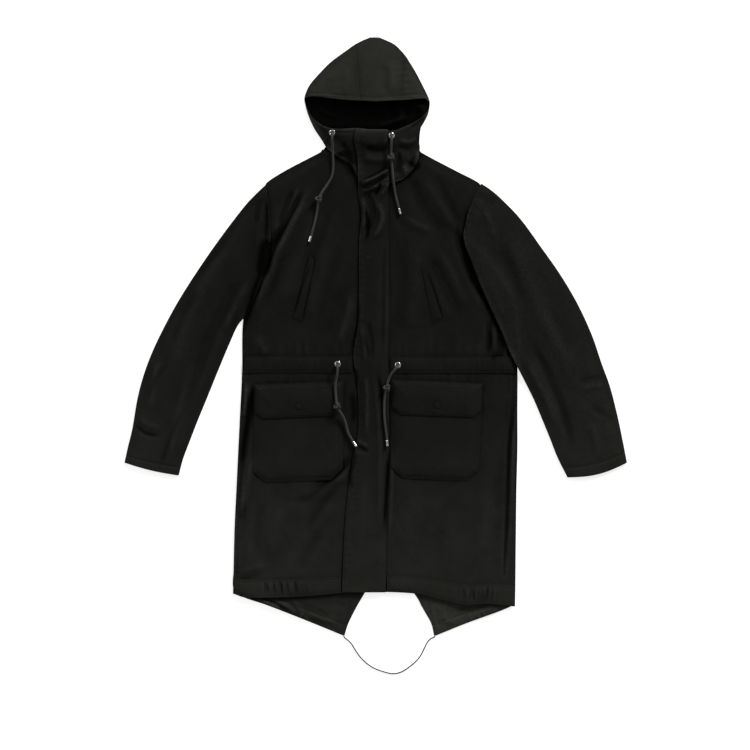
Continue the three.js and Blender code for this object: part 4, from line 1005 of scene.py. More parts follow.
def crown_form(start, end):
    def form(x, y, u, v, rims):
        arch = np.sin(math.pi * np.clip(lerp(start, end, u), 0.02, 0.98)) ** BRIM["fade"]
        reach = smooth(v * (CROWN_Y - BRIM_Y) * arch / EDGE_ROLL)
        rise = BODY_LOFT * reach + BRIM["rise"] * arch * np.sin(math.pi / 2 * v) ** BRIM["climb"]
        brim = channel(rims[0] - BRIM["hem"], 0.7) * (v > 0.5)
        seams = channel(rims[1] - HOOD_ROW, 0.3) * smooth(v / 0.1)
        small = smooth(rims[0] / 12) * (folds(x, y, HOOD_FOLDS) + unevenness(x, y, SEED["crown"]))
        small += sum(puckers(x, y, *row) for row in CROWN_SEAM_PUCKERS)
        return np.maximum(rise + brim + seams + small * arch, 0)
    return form


next_layer()
# Rows of puckers: their line, height, pace, reach and seed
CROWN_SEAM_PUCKERS = [([(46, 604), (58, 575), (64, 540), (68, 503)], 1.3, 14, 15, 24),
                      ([(-40, 610), (-66, 560), (-76, 503)], 0.6, 17, 12, 25)]
for name, (start, end) in HOOD_UPPER.items():
    wide, deep = HOOD_UPPER_SIZE["round"] * (end - start), HOOD_UPPER_SIZE["deep"]
    plan = crown_plan(start, end)
    panel(name + "_cloth", plan, spaced(wide, 2.8), spaced(deep, 2.6), crown_form(start, end),
          least=CLOTH + SEAM, thin=tapered("sides", 1.5, 3))
    stitches(name + "_cloth", *rim_line(plan, BRIM["hem"], "bottom", wide, deep))
    for side in ("left", "right"):
        inner = (side == "left" and start > 0) or (side == "right" and end < 1)
        if inner:
            stitches(name + "_cloth", *rim_line(plan, HOOD_ROW, side, wide, deep))

# %% [markdown]
# ## The fronts
#
# Each front runs from the shoulder and the neck to the hem, between its side and the zip. At the
# arm its edge is the sleeve's own seam, so that the two meet there instead of lying on each
# other. All the large folds of the coat are here. They are troughs and ridges at the places
# where the photograph has them.

# %% The fronts
SLEEVES = {"right": (along(RIGHT_SLEEVE), 1), "left": (along(LEFT_SLEEVE), -1)}
FRONT = {"wide": 290, "long": 930, "step": 3.3}
ARMHOLE_SEAM = 0.4
ARMHOLE_RISE = 2.2  # the front comes up to the sleeve's height here


def sleeve_place(row, turn, t):
    """A place across a sleeve: between its two edges, swung up the arm by a sine's half wave."""
    width = np.hypot(row["innerX"] - row["outerX"], row["innerY"] - row["outerY"])
    swing = row["bow"] * np.sin(math.pi * t) * turn
    x = lerp(row["outerX"], row["innerX"], t) - (row["innerY"] - row["outerY"]) / width * swing
    y = lerp(row["outerY"], row["innerY"], t) + (row["innerX"] - row["outerX"]) / width * swing
    return x, y


def armhole(side):
    """The armhole's line from shoulder to armpit: the sleeve's upper end."""
    at, turn = SLEEVES[side]
    return np.column_stack(sleeve_place(at(0.0), turn, np.linspace(0, 1, 40)))


ARMHOLES = {side: armhole(side) for side in ("right", "left")}


def front_outer(side, y):
    """The front's outer edge: the coat's side, but the armhole where the sleeve is sewn on."""
    hole = ARMHOLES[side][::-1]
    inward = 1 if side == "right" else -1
    seam = np.interp(y, hole[:, 1], hole[:, 0]) + inward * ARMHOLE_SEAM
    body = body_right(y) if side == "right" else body_left(y)
    inside = smooth((y - hole[0, 1] + 50) / 52) * smooth((hole[-1, 1] + 4 - y) / 6)
    return np.where(inward * (seam - body) > 0, lerp(body, seam, inside), body)


def hung(x, level):
    """A level on the fronts, lowered near the hem so that the last one follows the hem's curve."""
    return level - hem_drop(x) * smooth((level - HEM_CURVE_Y) / (HEM_Y - HEM_CURVE_Y))


def front_plan(side):
    inner = curve(FRONT_EDGE, "y", side)

    def plan(u, v):
        level = lerp(NECK_Y + 4, HEM_Y, v)
        x = lerp(front_outer(side, level), inner(level), u)
        return x, hung(x, level)

    return plan


SIDE_SEAM = {"right": [(-282, -60), (-279, -150), (-283, -300), (-289, -430), (-292, -520)],
             "left": [(289, -60), (291, -133), (283, -222), (278, -343), (276, -406), (270, -500)]}


def front_form(side):
    hole = ARMHOLES[side]

    def form(x, y, u, v, rims):
        edge = inset(x, y)
        shape = BODY_LOFT * smooth(edge / EDGE_ROLL)
        shape += smooth(edge / 9) * folds(x, y, FRONT_FOLDS)
        shape += smooth(edge / 12) * 1.15 * unevenness(x, y, SEED["fronts"])
        away = np.abs(beside(hole, x, y)[0])
        above_pit = smooth((y - hole[-1, 1] - 45) / 30)
        shape += channel(away - 6, 0.4, 2.4) + ARMHOLE_RISE * (1 - smooth(away / 30)) * above_pit
        seam = np.abs(beside(softened(SIDE_SEAM[side], 5), x, y)[0])
        shape += channel(seam, 1.3, 2.6) + 0.6 * np.exp(-(((seam - 6) / 4) ** 2))
        shape += sum(puckers(x, y, *row) for row in FRONT_PUCKERS)
        return shape + puckers(x, y, SIDE_SEAM[side], 0.8, 13, 9, 51)

    return form


# Above and below the waist casings
FRONT_PUCKERS = [
    ([(-276, -26), (-160, -28), (-56, -26)], 1.3, 23, 17, 52),
    ([(40, -28), (160, -28), (290, -28)], 1.3, 26, 17, 53),
    ([(-276, -88), (-160, -90), (-56, -88)], 0.9, 19, 12, 54),
    ([(40, -90), (160, -90), (290, -90)], 0.9, 21, 12, 55),
]
next_layer()
before_fronts = pile.copy()
for side in ("right", "left"):
    name = "front_" + side + "_cloth"
    across, lengthwise = spaced(FRONT["wide"], FRONT["step"]), spaced(FRONT["long"], FRONT["step"])
    panel(name, front_plan(side), across, lengthwise, front_form(side), least=CLOTH + SEAM,
          thin=tapered("top", 0.5, 9))
    hole = ARMHOLES[side] + np.array([6.5 if side == "right" else -6.5, 0])
    stitches(name, *hole[2:-3].T)
    stitches(name, *softened(SIDE_SEAM[side], 8).T)

# %% [markdown]
# ## The hood's lower front
#
# Below the face opening the hood stands up a little at its lip and lies on the fronts at the neck
# seam. The seam rolls over there, which gives the dark crescent on the right and the two lobes
# on the left.

# %% The hood's lower front
HOOD_LOWER = {"right": along(HOOD_LOWER_RIGHT), "left": along(HOOD_LOWER_LEFT)}
HOOD_LOWER_SIZE = {"right": 150, "left": 165, "deep": 80, "sewn": 90}


def lower_plan(side):
    def plan(u, v):
        row = HOOD_LOWER[side](u)
        return lerp(row["lipX"], row["baseX"], v), lerp(row["lipY"], row["baseY"], v)
    return plan


def lower_form(x, y, u, v, rims):
    loft = BODY_LOFT * smooth(inset(x, y) / EDGE_ROLL) * (1 - v)
    lip = LIP["rise"] * smooth(inset(x, y) / LIP["fade"]) * (1 - smooth(v))
    hem = channel(rims[0] - BRIM["hem"], 0.6) * (v < 0.5)
    neck = channel(rims[0] - 6, 0.7) * (v > 0.5) + 2.4 * smooth((v - 0.75) / 0.2)
    small = folds(x, y, HOOD_LOWER_FOLDS) + 0.7 * unevenness(x, y, SEED["hood lower"])
    small *= smooth(np.minimum(*rims) / 6)
    return loft + lip + hem + neck * smooth((NECK_Y + 10 - y) / 14) + small


next_layer()
for side in ("right", "left"):
    name = "hood_lower_" + side + "_cloth"
    wide, deep = HOOD_LOWER_SIZE[side], HOOD_LOWER_SIZE["deep"]
    panel(name, lower_plan(side), spaced(wide, 2.6), spaced(deep, 2.4), lower_form, least=CLOTH + SEAM)
    for row, rim in ((BRIM["hem"], "top"), (HOOD_ROW, "bottom")):
        stitches(name, *rim_line(lower_plan(side), row, rim, wide, HOOD_LOWER_SIZE["sewn"]))

# %% [markdown]
# ## Casings
#
# A cord runs round the waist and another round the hem, each in a strip of cloth that is sewn on
# along both its edges. The cord draws the strip into small gathers. These are ripples across
# it, uneven in pace and height, and strongest where the cord has been pulled.

# %% Casings
CASING_RISE = 0.6
FLAT_STRIP = 0.9  # casings and welts are pressed flat by their sewing
HEM_CASING = 34
WAIST_CASINGS = {"right": (-276, -48, -41, -76), "left": (32, 294, -42, -77)}
HEM_CASINGS = {"right": (-296, -72, -242, -130), "left": (24, 291, 176, 260)}


def waist_plan(right, left, top, bottom):
    return lambda u, v: (lerp(right, left, u), lerp(top, bottom, v))


def hem_plan(right, left):
    def plan(u, v):
        x = lerp(right, left, u)
        return x, hung(x, lerp(HEM_Y + HEM_CASING, HEM_Y + 1, v))
    return plan


def waist_form(right, left, middle):
    def form(x, y, u, v, rims):
        swell = CASING_RISE * np.sin(math.pi * v)
        line = [(right, middle), (left, middle)]
        ripple = puckers(x, y, line, 0.9, 17, 20, 71) + puckers(x, y, line, 0.7, 11, 13, 72)
        small = 0.3 * (1 + unevenness(x, y, SEED["waist"]))
        return swell + ripple + channel(rims[0] - EDGE_ROW, 0.6, 1.8) + small
    return form


def hem_form(start, end):
    def form(x, y, u, v, rims):
        t = (x - start) / (end - start)
        pulled = smooth((t + 0.1) / 0.3) * smooth((1.1 - t) / 0.3)
        line = [(-300, HEM_Y + 12), (0, HEM_Y + 16), (300, HEM_Y - 6)]
        gathers = puckers(x, y, line, 1.0, 15, 30, 81) + puckers(x, y, line, 0.8, 9, 30, 82)
        ripple = gathers * (0.4 + 2.2 * pulled)
        return np.sin(math.pi * v) * (CASING_RISE + ripple) + channel(rims[0] - EDGE_ROW, 0.5, 1.8)
    return form


def lay_casing(name, plan, form, wide, long, taper):
    """Lays a casing, pressed flat and tapered over some millimetres, and sews both its edges."""
    panel(name, plan, spaced(wide, 2.4, STRIP / 2), spaced(long, 2.2, STRIP / 2), form, STRIP,
          thin=tapered("all", 0.3, taper, FLAT_STRIP))
    for rim in ("top", "bottom"):
        stitches(name, *rim_line(plan, EDGE_ROW, rim, wide, long))


next_layer()
for side, (right, left, top, bottom) in WAIST_CASINGS.items():
    name, wide = "waist_casing_" + side + "_cloth", left - right
    plan = waist_plan(right, left, top, bottom)
    lay_casing(name, plan, waist_form(right, left, (top + bottom) / 2), wide, top - bottom, 9)
    for x_end in (EDGE_ROW, wide - EDGE_ROW):
        stitches(name, *plan(np.full(20, x_end / wide), np.linspace(0.1, 0.9, 20)))

for side, (right, left, start, end) in HEM_CASINGS.items():
    name = "hem_casing_" + side + "_cloth"
    lay_casing(name, hem_plan(right, left), hem_form(start, end), left - right, HEM_CASING - 1, 11)

# %% [markdown]
# ## Pockets, flaps and welts
#
# The cargo pockets lie on the skirt, with their bottom corners cut off. Each flap covers its
# pocket's mouth and is sewn along its top with two rows. A round mark shows where a covered snap
# is pressed into the flap. The welts on the chest are narrow slanting strips over the mouths of
# the hand pockets.

# %% Pockets, flaps and welts
# Steps of the grid, the tapered rim as (least, over, thickness), and the rims that are sewn
POCKET = {
    "length": 208, "corner": 24, "margin": 0, "full": 2.2, "narrows": 1, "steps": (2.6, 2.6),
    "taper": (0.4, 15, 1.6), "sewn": ("left", "right", "bottom")}
FLAP = {
    "length": 72, "corner": 16, "margin": 3, "full": 1.6, "narrows": 0, "steps": (2.4, 2.2),
    "taper": (0.6, 8, 1.8), "sewn": ("left", "right", "top", "bottom")}
SEWN_ROWS = (EDGE_ROW, 9)
PATCHES = {"right": (-256, -66, -96, 3, 0.04), "left": (32, 226, -93, 10, -0.04)}
SNAP = {"radius": 7.5, "depth": 0.7}


def patch_plan(patch, shape):
    right, left, top, taper, tilt = patch

    def plan(u, v):
        depth = v * shape["length"]
        cut = shape["corner"] * np.clip((depth - (shape["length"] - shape["corner"])) / shape["corner"], 0, 1)
        lean = taper * v * shape["narrows"]
        x = lerp(right + shape["margin"] + cut, left - shape["margin"] - cut - lean, u)
        return x, top - shape["margin"] - depth + tilt * (x - (right + left) / 2)

    return plan


def snap_mark(x, y, at):
    """The mark of a covered snap: a shallow ring round a raised button."""
    away = np.hypot(x - at[0], y - at[1])
    ring = np.exp(-(((away - SNAP["radius"]) / 1.8) ** 2))
    return SNAP["depth"] * (0.8 * smooth((SNAP["radius"] - away) / 3) - ring)


def patch_form(full, seed, rows=SEWN_ROWS, at=None):
    def form(x, y, u, v, rims):
        edge = np.minimum(*rims)
        shape = full * smooth(edge / 34) + 0.8 * smooth(edge / 8) * (1 + unevenness(x, y, seed))
        for row in rows:
            shape = shape + channel(edge - row, 0.45, 1.7)
        return shape + (snap_mark(x, y, at) if at else 0)
    return form


def lay_patch(kind, side, shape, seed, at=None):
    """Lays a pocket or a flap and sews it on with two rows."""
    patch, long = PATCHES[side], shape["length"]
    wide, plan, name = patch[1] - patch[0], patch_plan(patch, shape), kind + "_" + side + "_cloth"
    across, lengthwise = spaced(wide, shape["steps"][0]), spaced(long, shape["steps"][1])
    panel(name, plan, across, lengthwise, patch_form(shape["full"], seed, SEWN_ROWS, at),
          thin=tapered("all", *shape["taper"]))
    for row in SEWN_ROWS:
        for rim in shape["sewn"]:
            stitches(name, *rim_line(plan, row, rim, wide, long, ends=row - 0.5))


next_layer()
for side, seed in (("right", 91), ("left", 95)):
    lay_patch("pocket", side, POCKET, seed)

next_layer()
for side, seed in (("right", 101), ("left", 105)):
    right, left, top = PATCHES[side][:3]
    lay_patch("flap", side, FLAP, seed, at=((right + left) / 2, top - 52))

WELT = {"top": 9, "bottom": 20, "wide": 15, "row": 2.5}
WELTS = {"right": (-133, 166, -163, 35, -10), "left": (101, 152, 130, 33, 10)}


def welt_plan(top_x, top_y, bottom_x, bottom_y, slant):
    def plan(u, v):
        width = lerp(WELT["top"], WELT["bottom"], v)
        return lerp(top_x, bottom_x, v) + width * (u - 0.5), lerp(top_y, bottom_y, v) + slant * (u - 0.5)
    return plan


next_layer()
for side, welt in WELTS.items():
    name, plan = "welt_" + side + "_cloth", welt_plan(*welt)
    long = math.hypot(welt[2] - welt[0], welt[3] - welt[1])
    form = patch_form(0.4, SEED["welts"], (WELT["row"],))
    panel(name, plan, spaced(WELT["wide"], 1.6, STRIP / 2), spaced(long, 2.4, STRIP / 2), form, STRIP,
          thin=tapered("all", 0.3, 6, 0.6))
    for rim in ("left", "right"):
        stitches(name, *rim_line(plan, WELT["row"], rim, WELT["wide"], long, ends=2))

# %% [markdown]
# ## The placket
#
# A double strip covers the zip from the lip of the hood to the hem. It is closed by snaps that
# are covered too, so all that shows of them is a round mark now and then. It creases sharply
# where the collar bends down, and opens a long hollow below that.

# %% The placket
PLACKET_FORM = {"rise": 1.6, "row": 4, "wide": 66, "hem_wide": 91, "long": 971}
SNAPS_Y = (408, 297, 165, 32, -95, -234, -337, -452)
CLEAR_SNAP = 165  # the one whose mark shows best
placket_right, placket_left = curve(PLACKET, "y", "right"), curve(PLACKET, "y", "left")


def placket_plan(u, v):
    y = lerp(PLACKET["y"][0], HEM_Y - 1, v)
    return lerp(placket_right(y), placket_left(y), u), y


def placket_form(x, y, u, v, rims):
    shape = PLACKET_FORM["rise"] * np.sin(math.pi * u) + folds(x, y, PLACKET_FOLDS)
    shape += 0.6 * smooth(np.minimum(*rims) / 5) * (1 + unevenness(x, y, SEED["placket"]))
    from_right = x - placket_right(y)
    shape += channel(from_right - PLACKET_FORM["row"], 0.5, 1.8)
    for snap in SNAPS_Y:
        shape += (0.8 if snap == CLEAR_SNAP else 0.3) * snap_mark(x, y, (placket_right(snap) + 19, snap))
    ripple = puckers(x, y, [(-34, 430), (-32, 250), (-32, 80), (-40, -50), (-36, -200), (-62, -500)],
                     0.8, 15, 9, 122)
    return shape + ripple


next_layer()
flush = tapered("left", 0.5, 12, where=lambda x, y: smooth((330 - y) / 20))
across, lengthwise = spaced(PLACKET_FORM["wide"], 2.4), spaced(PLACKET_FORM["long"], 2.8)
panel("placket_cloth", placket_plan, across, lengthwise, placket_form, thin=flush)
levels = np.linspace(430, HEM_Y + 4, 400)
stitches("placket_cloth", placket_right(levels) + PLACKET_FORM["row"], levels)
hem = rim_line(placket_plan, 4, "bottom", PLACKET_FORM["hem_wide"], PLACKET_FORM["long"])
stitches("placket_cloth", *hem)

# %% [markdown]
# ## The sleeves
#
# A sleeve is a tube, pressed flat, that lies with its creases across the elbow. It is open at the
# armhole and at the cuff, so it can't be a closed shell like the panels: it is one ring of points
# carried down the arm, once for the outside of the cloth and once for the inside, joined at both
# ends. The edges of the tube roll over in a half round.

# %% The sleeves
SLEEVE = {"roll": 2.4, "inside": 0.4, "loft": 1.2, "full": 30, "creased": 22, "cuff": 25}
SLEEVE_FOLDS = {"right": RIGHT_SLEEVE_FOLDS, "left": LEFT_SLEEVE_FOLDS}
EDGES = np.array([0, 0.35, 1.1, 2.4])  # columns at the tube's edges, in millimetres from them
ENDS = np.array([0, 0.4, 1.2])  # rows at its ends


def sleeve_length(side):
    rows = RIGHT_SLEEVE if side == "right" else LEFT_SLEEVE
    middle = np.column_stack([rows["outerX"] + rows["innerX"], rows["outerY"] + rows["innerY"]]) / 2
    return float(np.linalg.norm(np.diff(middle, axis=0), axis=1).sum())


def sleeve_rise(side, x, y, edge, v, length):
    """How far the upper layer lies above the flattened tube: a little air, the folds, the hem of
    the cuff, and a flat start at the armhole, where the front meets it."""
    start, cuff = v * length, (1 - v) * length
    raised = SLEEVE["loft"] * smooth(edge / SLEEVE["full"]) * smooth(start / 50)
    small = 0.6 + 1.1 * unevenness(x, y, SEED["sleeves"]) + folds(x, y, SLEEVE_FOLDS[side])
    raised = raised + smooth(edge / SLEEVE["creased"]) * small
    doubled = 0.5 * smooth((SLEEVE["cuff"] - cuff) / 4)
    hem = smooth(edge / 6) * (channel(cuff - SLEEVE["cuff"], 0.8) + doubled)
    seam = 0.3 * smooth(edge / 8) * np.exp(-(((start - 5) / 4) ** 2))
    ripple = puckers(x, y, ARMHOLES[side], 0.6, 19, 16, 141) * smooth(edge / 12)
    return np.maximum(raised + hem + seam + ripple, 0)


def sleeve(side, below):
    at, turn = SLEEVES[side]
    length = sleeve_length(side)
    inner_rows = np.linspace(3.6, length - 3.6, int(length / 3.4))
    v = np.concatenate([ENDS, inner_rows, length - ENDS[::-1]])[:, None] / length
    row = at(v)
    width = np.hypot(row["innerX"] - row["outerX"], row["innerY"] - row["outerY"])
    inner = lerp(5.5 / width, 1 - 5.5 / width, np.linspace(0, 1, 42)[None])
    t = np.hstack([EDGES / width, inner, 1 - EDGES[::-1] / width])
    edge = np.minimum(t, 1 - t) * width
    x, y = sleeve_place(row, turn, t)
    middle = ground(x, y, below=below, soft=4) + SLEEVE["roll"]
    raised = sleeve_rise(side, x, y, edge, v + 0 * t, length)

    def wall(radius):
        """A closed ring in each row, at a radius from the tube's own middle surface."""
        roll = SLEEVE["roll"]
        away = np.where(edge < roll, roll - radius + edge * radius / roll, edge)
        at_x, at_y = sleeve_place(row, turn, np.where(t < 0.5, away / width, 1 - away / width))
        curl = radius * np.sqrt(1 - (1 - np.clip(edge / roll, 0, 1)) ** 2)
        back = (slice(None), slice(-2, 0, -1))
        upper, lower = middle + curl + raised * np.minimum(curl / radius, 1), middle - curl
        return np.stack([np.hstack([at_x, at_x[back]]), np.hstack([at_y, at_y[back]]),
                         np.hstack([upper, lower[back]])], -1)

    outside, inside = wall(SLEEVE["roll"]), wall(SLEEVE["inside"])
    from_end = np.minimum(v, 1 - v) * length
    turned = 0.8 * (1 - np.sqrt(1 - (1 - np.clip(from_end / ENDS[-1], 0, 1)) ** 2))[..., None]
    outside, inside = lerp(outside, inside, turned / 2), lerp(inside, outside, turned / 2)
    rows, around = outside.shape[:2]
    grid = grid_faces(rows, around, wrap=True).reshape(-1, 4)
    j = np.arange(around)
    k, last, hidden = (j + 1) % around, (rows - 1) * around, rows * around
    upper_end = np.stack([k, j, hidden + j, hidden + k], -1)
    cuff_end = np.stack([last + j, last + k, hidden + last + k, hidden + last + j], -1)
    faces = np.vstack([grid, (grid + hidden)[:, ::-1], upper_end, cuff_end])
    if (x[0, 1] - x[0, 0]) * (y[1, 0] - y[0, 0]) - (y[0, 1] - y[0, 0]) * (x[1, 0] - x[0, 0]) < 0:
        faces = faces[:, ::-1]
    round_it = np.hstack([t, 2 - t[:, -2:0:-1]]) * width
    cloth = np.stack([round_it, np.broadcast_to(v * length, round_it.shape)], -1).reshape(-1, 2) * MM
    cloth = np.vstack([cloth, cloth])
    name = "sleeve_" + side + "_cloth"
    places = np.vstack([outside.reshape(-1, 3), inside.reshape(-1, 3)])
    piece = make_piece(name, places, faces.tolist(), cloth[faces.ravel()])
    top = outside[:, :t.shape[1], 2]
    points = np.arange(rows * around).reshape(rows, around)[:, :t.shape[1]]
    note(name, piece, 2 * plan_area(x, y), x, y, top, points)
    for from_cuff in (EDGE_ROW, SLEEVE["cuff"]):
        across = np.linspace(0.04, 0.96, 60)
        stitches(name, *sleeve_place(at(np.full(60, 1 - from_cuff / length)), turn, across))
    print(name, places.shape[0], "points, top", round(float(top.max()), 1), "mm, length", round(length))


for side in ("right", "left"):
    level = np.arange(PILE["deep"])[:, None] + PILE["bottom"]
    sleeve(side, np.where(level > ARMHOLES[side][-1, 1] + 4, before_fronts, pile))

# %% [markdown]
# ## Eyelets
#
# Each cord comes out of a nickel eyelet, a ring whose edge is rolled over. Its section is turned
# round its own axis, and the ring is tilted to lie on the cloth. A torus would show no flat
# flange, and light picks out just that flange.

# %% Eyelets
EYELETS = {
    "hood_right": (-91, 427), "hood_left": (34, 421), "waist_right": (-79, -58), "waist_left": (47, -60)}
EYELET_SECTION = [(3.2, -0.9), (3.25, 0.3), (3.5, 1.0), (4.1, 1.5), (4.9, 1.6), (5.8, 1.3), (6.4, 0.7),
                  (6.6, 0.1), (6.3, -0.3), (5.0, -0.5)]
SHADE_DISC = {"above": 0.15, "wider": 1.02}  # a disc of painted shade in the ring's opening: its height over the cloth, and its size as a share of the opening


def lie_of(x, y, reach):
    """The plane that the pile makes round a place, by least squares: its height and two slopes."""
    dx, dy = np.meshgrid(np.linspace(-reach, reach, 15), np.linspace(-reach, reach, 15))
    inside = np.hypot(dx, dy) <= reach
    dx, dy = dx[inside], dy[inside]
    heights = sample(pile, x + dx, y + dy)
    return np.linalg.lstsq(np.column_stack([np.ones(len(dx)), dx, dy]), heights, rcond=None)[0]


def eyelet(name, x, y, around=48):
    lie = lie_of(x, y, 7)
    angle = np.arange(around) / around * 2 * math.pi
    radius, height = np.array(EYELET_SECTION).T
    dx, dy = radius[:, None] * np.cos(angle), radius[:, None] * np.sin(angle)
    level = lie[0] + lie[1] * dx + lie[2] * dy
    places = np.stack([x + dx, y + dy, level + height[:, None]], -1)
    faces = grid_faces(len(radius), around, wrap=True).reshape(-1, 4)
    close = grid_faces(2, around, wrap=True).reshape(-1, 4)
    close = np.where(close >= around, close - around, close + (len(radius) - 1) * around)
    faces = np.vstack([faces, close])[:, ::-1]
    flat = np.zeros((faces.size, 2))
    ring = make_piece("eyelet_" + name + "_rolled", places.reshape(-1, 3), faces.tolist(), flat)
    # A disc of the dark lining cloth fills the ring's opening: painted shade for the dark inside of the hole.
    disc = np.stack([x + dx[0] * SHADE_DISC["wider"], y + dy[0] * SHADE_DISC["wider"], level[0] + SHADE_DISC["above"]], -1)
    hole = make_piece("shade_disc_" + name, disc, [list(range(around))], np.zeros((around, 2)))
    return ring, hole


eyelets = {name: eyelet(name, *at) for name, at in EYELETS.items()}
print("eyelets:", len(eyelets))

# %% [markdown]
# ## The cords settle
#
# The cords were made before the cloth, along their own curves. Where a fold rises into one, the
# cord is lifted onto it here, together with its knot and its tip.

# %% The cords settle
LIFT = {"clear": 0.1, "turns": 3, "fall": 0.98}  # over the cloth, and how the lift is softened


def settle(name, line, thick):
    """Lifts a cord where it would sink into the pile, softly along its length."""
    sunk = sample(pile, line[:, 0], line[:, 1]) + thick / 2 + LIFT["clear"] - line[:, 2]
    lift = np.clip(sunk, 0, None)
    for _ in range(LIFT["turns"]):
        ahead, behind = np.append(lift[1:], lift[-1]), np.append(lift[0], lift[:-1])
        lift = np.maximum(lift, (ahead + behind) / 2 * LIFT["fall"])
    for piece in [cords[name]] + [made[name] for made in (knots, tips) if name in made]:
        mesh = piece.data
        places = np.zeros(3 * len(mesh.vertices), np.float32)
        mesh.vertices.foreach_get("co", places)
        places = places.reshape(-1, 3)
        away = (places[:, None, 0] / MM - line[:, 0]) ** 2 + (places[:, None, 1] / MM - line[:, 1]) ** 2
        places[:, 2] += lift[away.argmin(axis=1)] * MM
        mesh.vertices.foreach_set("co", places.ravel())
        mesh.update()
    line[:, 2] += lift
    return round(float(lift.max()), 1)


lifted = {
    name: settle(name, line, TAIL_CORD if name == "tail" else CORD) for name, line in cord_lines.items()}
print("cords lifted by at most:", lifted)

# %% [markdown]
# ## The sewing
#
# The stitches that were noted while the panels were laid are made now, one mesh for each panel.

# %% The sewing
sewn_on = {name: cloth["threads"] for name, cloth in laid.items() if cloth["threads"]}
threads = {name: sew("thread_" + name.removesuffix("_cloth"), lines) for name, lines in sewn_on.items()}

# %% [markdown]
# ## Rubbed and lit crests, and painted shade in the hollows
#
# Washing and wear take the dye off whatever stands up, and those crests are painted lighter too,
# as a highlight where the light catches them. The hollows are painted darker, as the shade that
# falls in them. Both are read from the finished pile: a point that lies above the mean of its
# surroundings is a crest, and one below it a hollow. Painting them by hand would miss most. A
# panel's own tall folds add to both, and each kind of panel takes its share. Only the places where
# the cloth folds in under itself, which a map of heights can't hold, get their painted shade from a
# table of strokes.

# %% Rubbed and lit crests, painted shade in hollows
SURROUNDINGS = {"near": 2, "far": 8}  # in squares of the pile
CREST = {"near": 1.0, "far": 3.0}  # the height above each mean that counts as fully worn and lit
HOLLOW = {"near": 1.3, "far": 4.2}
# One tail is lighter nearly all over, and one sleeve a little.
LIGHTER_ALL_OVER = {"back_left_cloth": 1.0, "sleeve_left_cloth": 0.16}
FOLD_TONE = 6.0  # a fold of this height is fully worn and lit, and a trough of this depth fully in painted shade
OWN_SHARE = {"wear_and_highlight": 0.15, "hollow_shade": 0.25}
OWN_FOLDS = {
    "front": FRONT_FOLDS, "placket": PLACKET_FOLDS, "sleeve_right": RIGHT_SLEEVE_FOLDS,
    "sleeve_left": LEFT_SLEEVE_FOLDS, "hood_lower": HOOD_LOWER_FOLDS, "hood_upper": HOOD_FOLDS,
    "hood_centre": HOOD_FOLDS,
}
# Narrow strips get less wear and highlight, and the cloth of hood, pockets and tails less painted
# shade. Each kind of panel has its share of both: wear and highlight, then painted shade.
SHARES = {
    "back": (0.8, 0.15), "hood_upper": (0.8, 0.15), "hood_centre": (0.8, 0.15), "pocket": (0.3, 0.5),
    "waist_casing": (0.15, 0.7), "hem_casing": (0.5, 1.3), "welt": (0.05, 0.4), "flap": (0.5, 1.0),
}
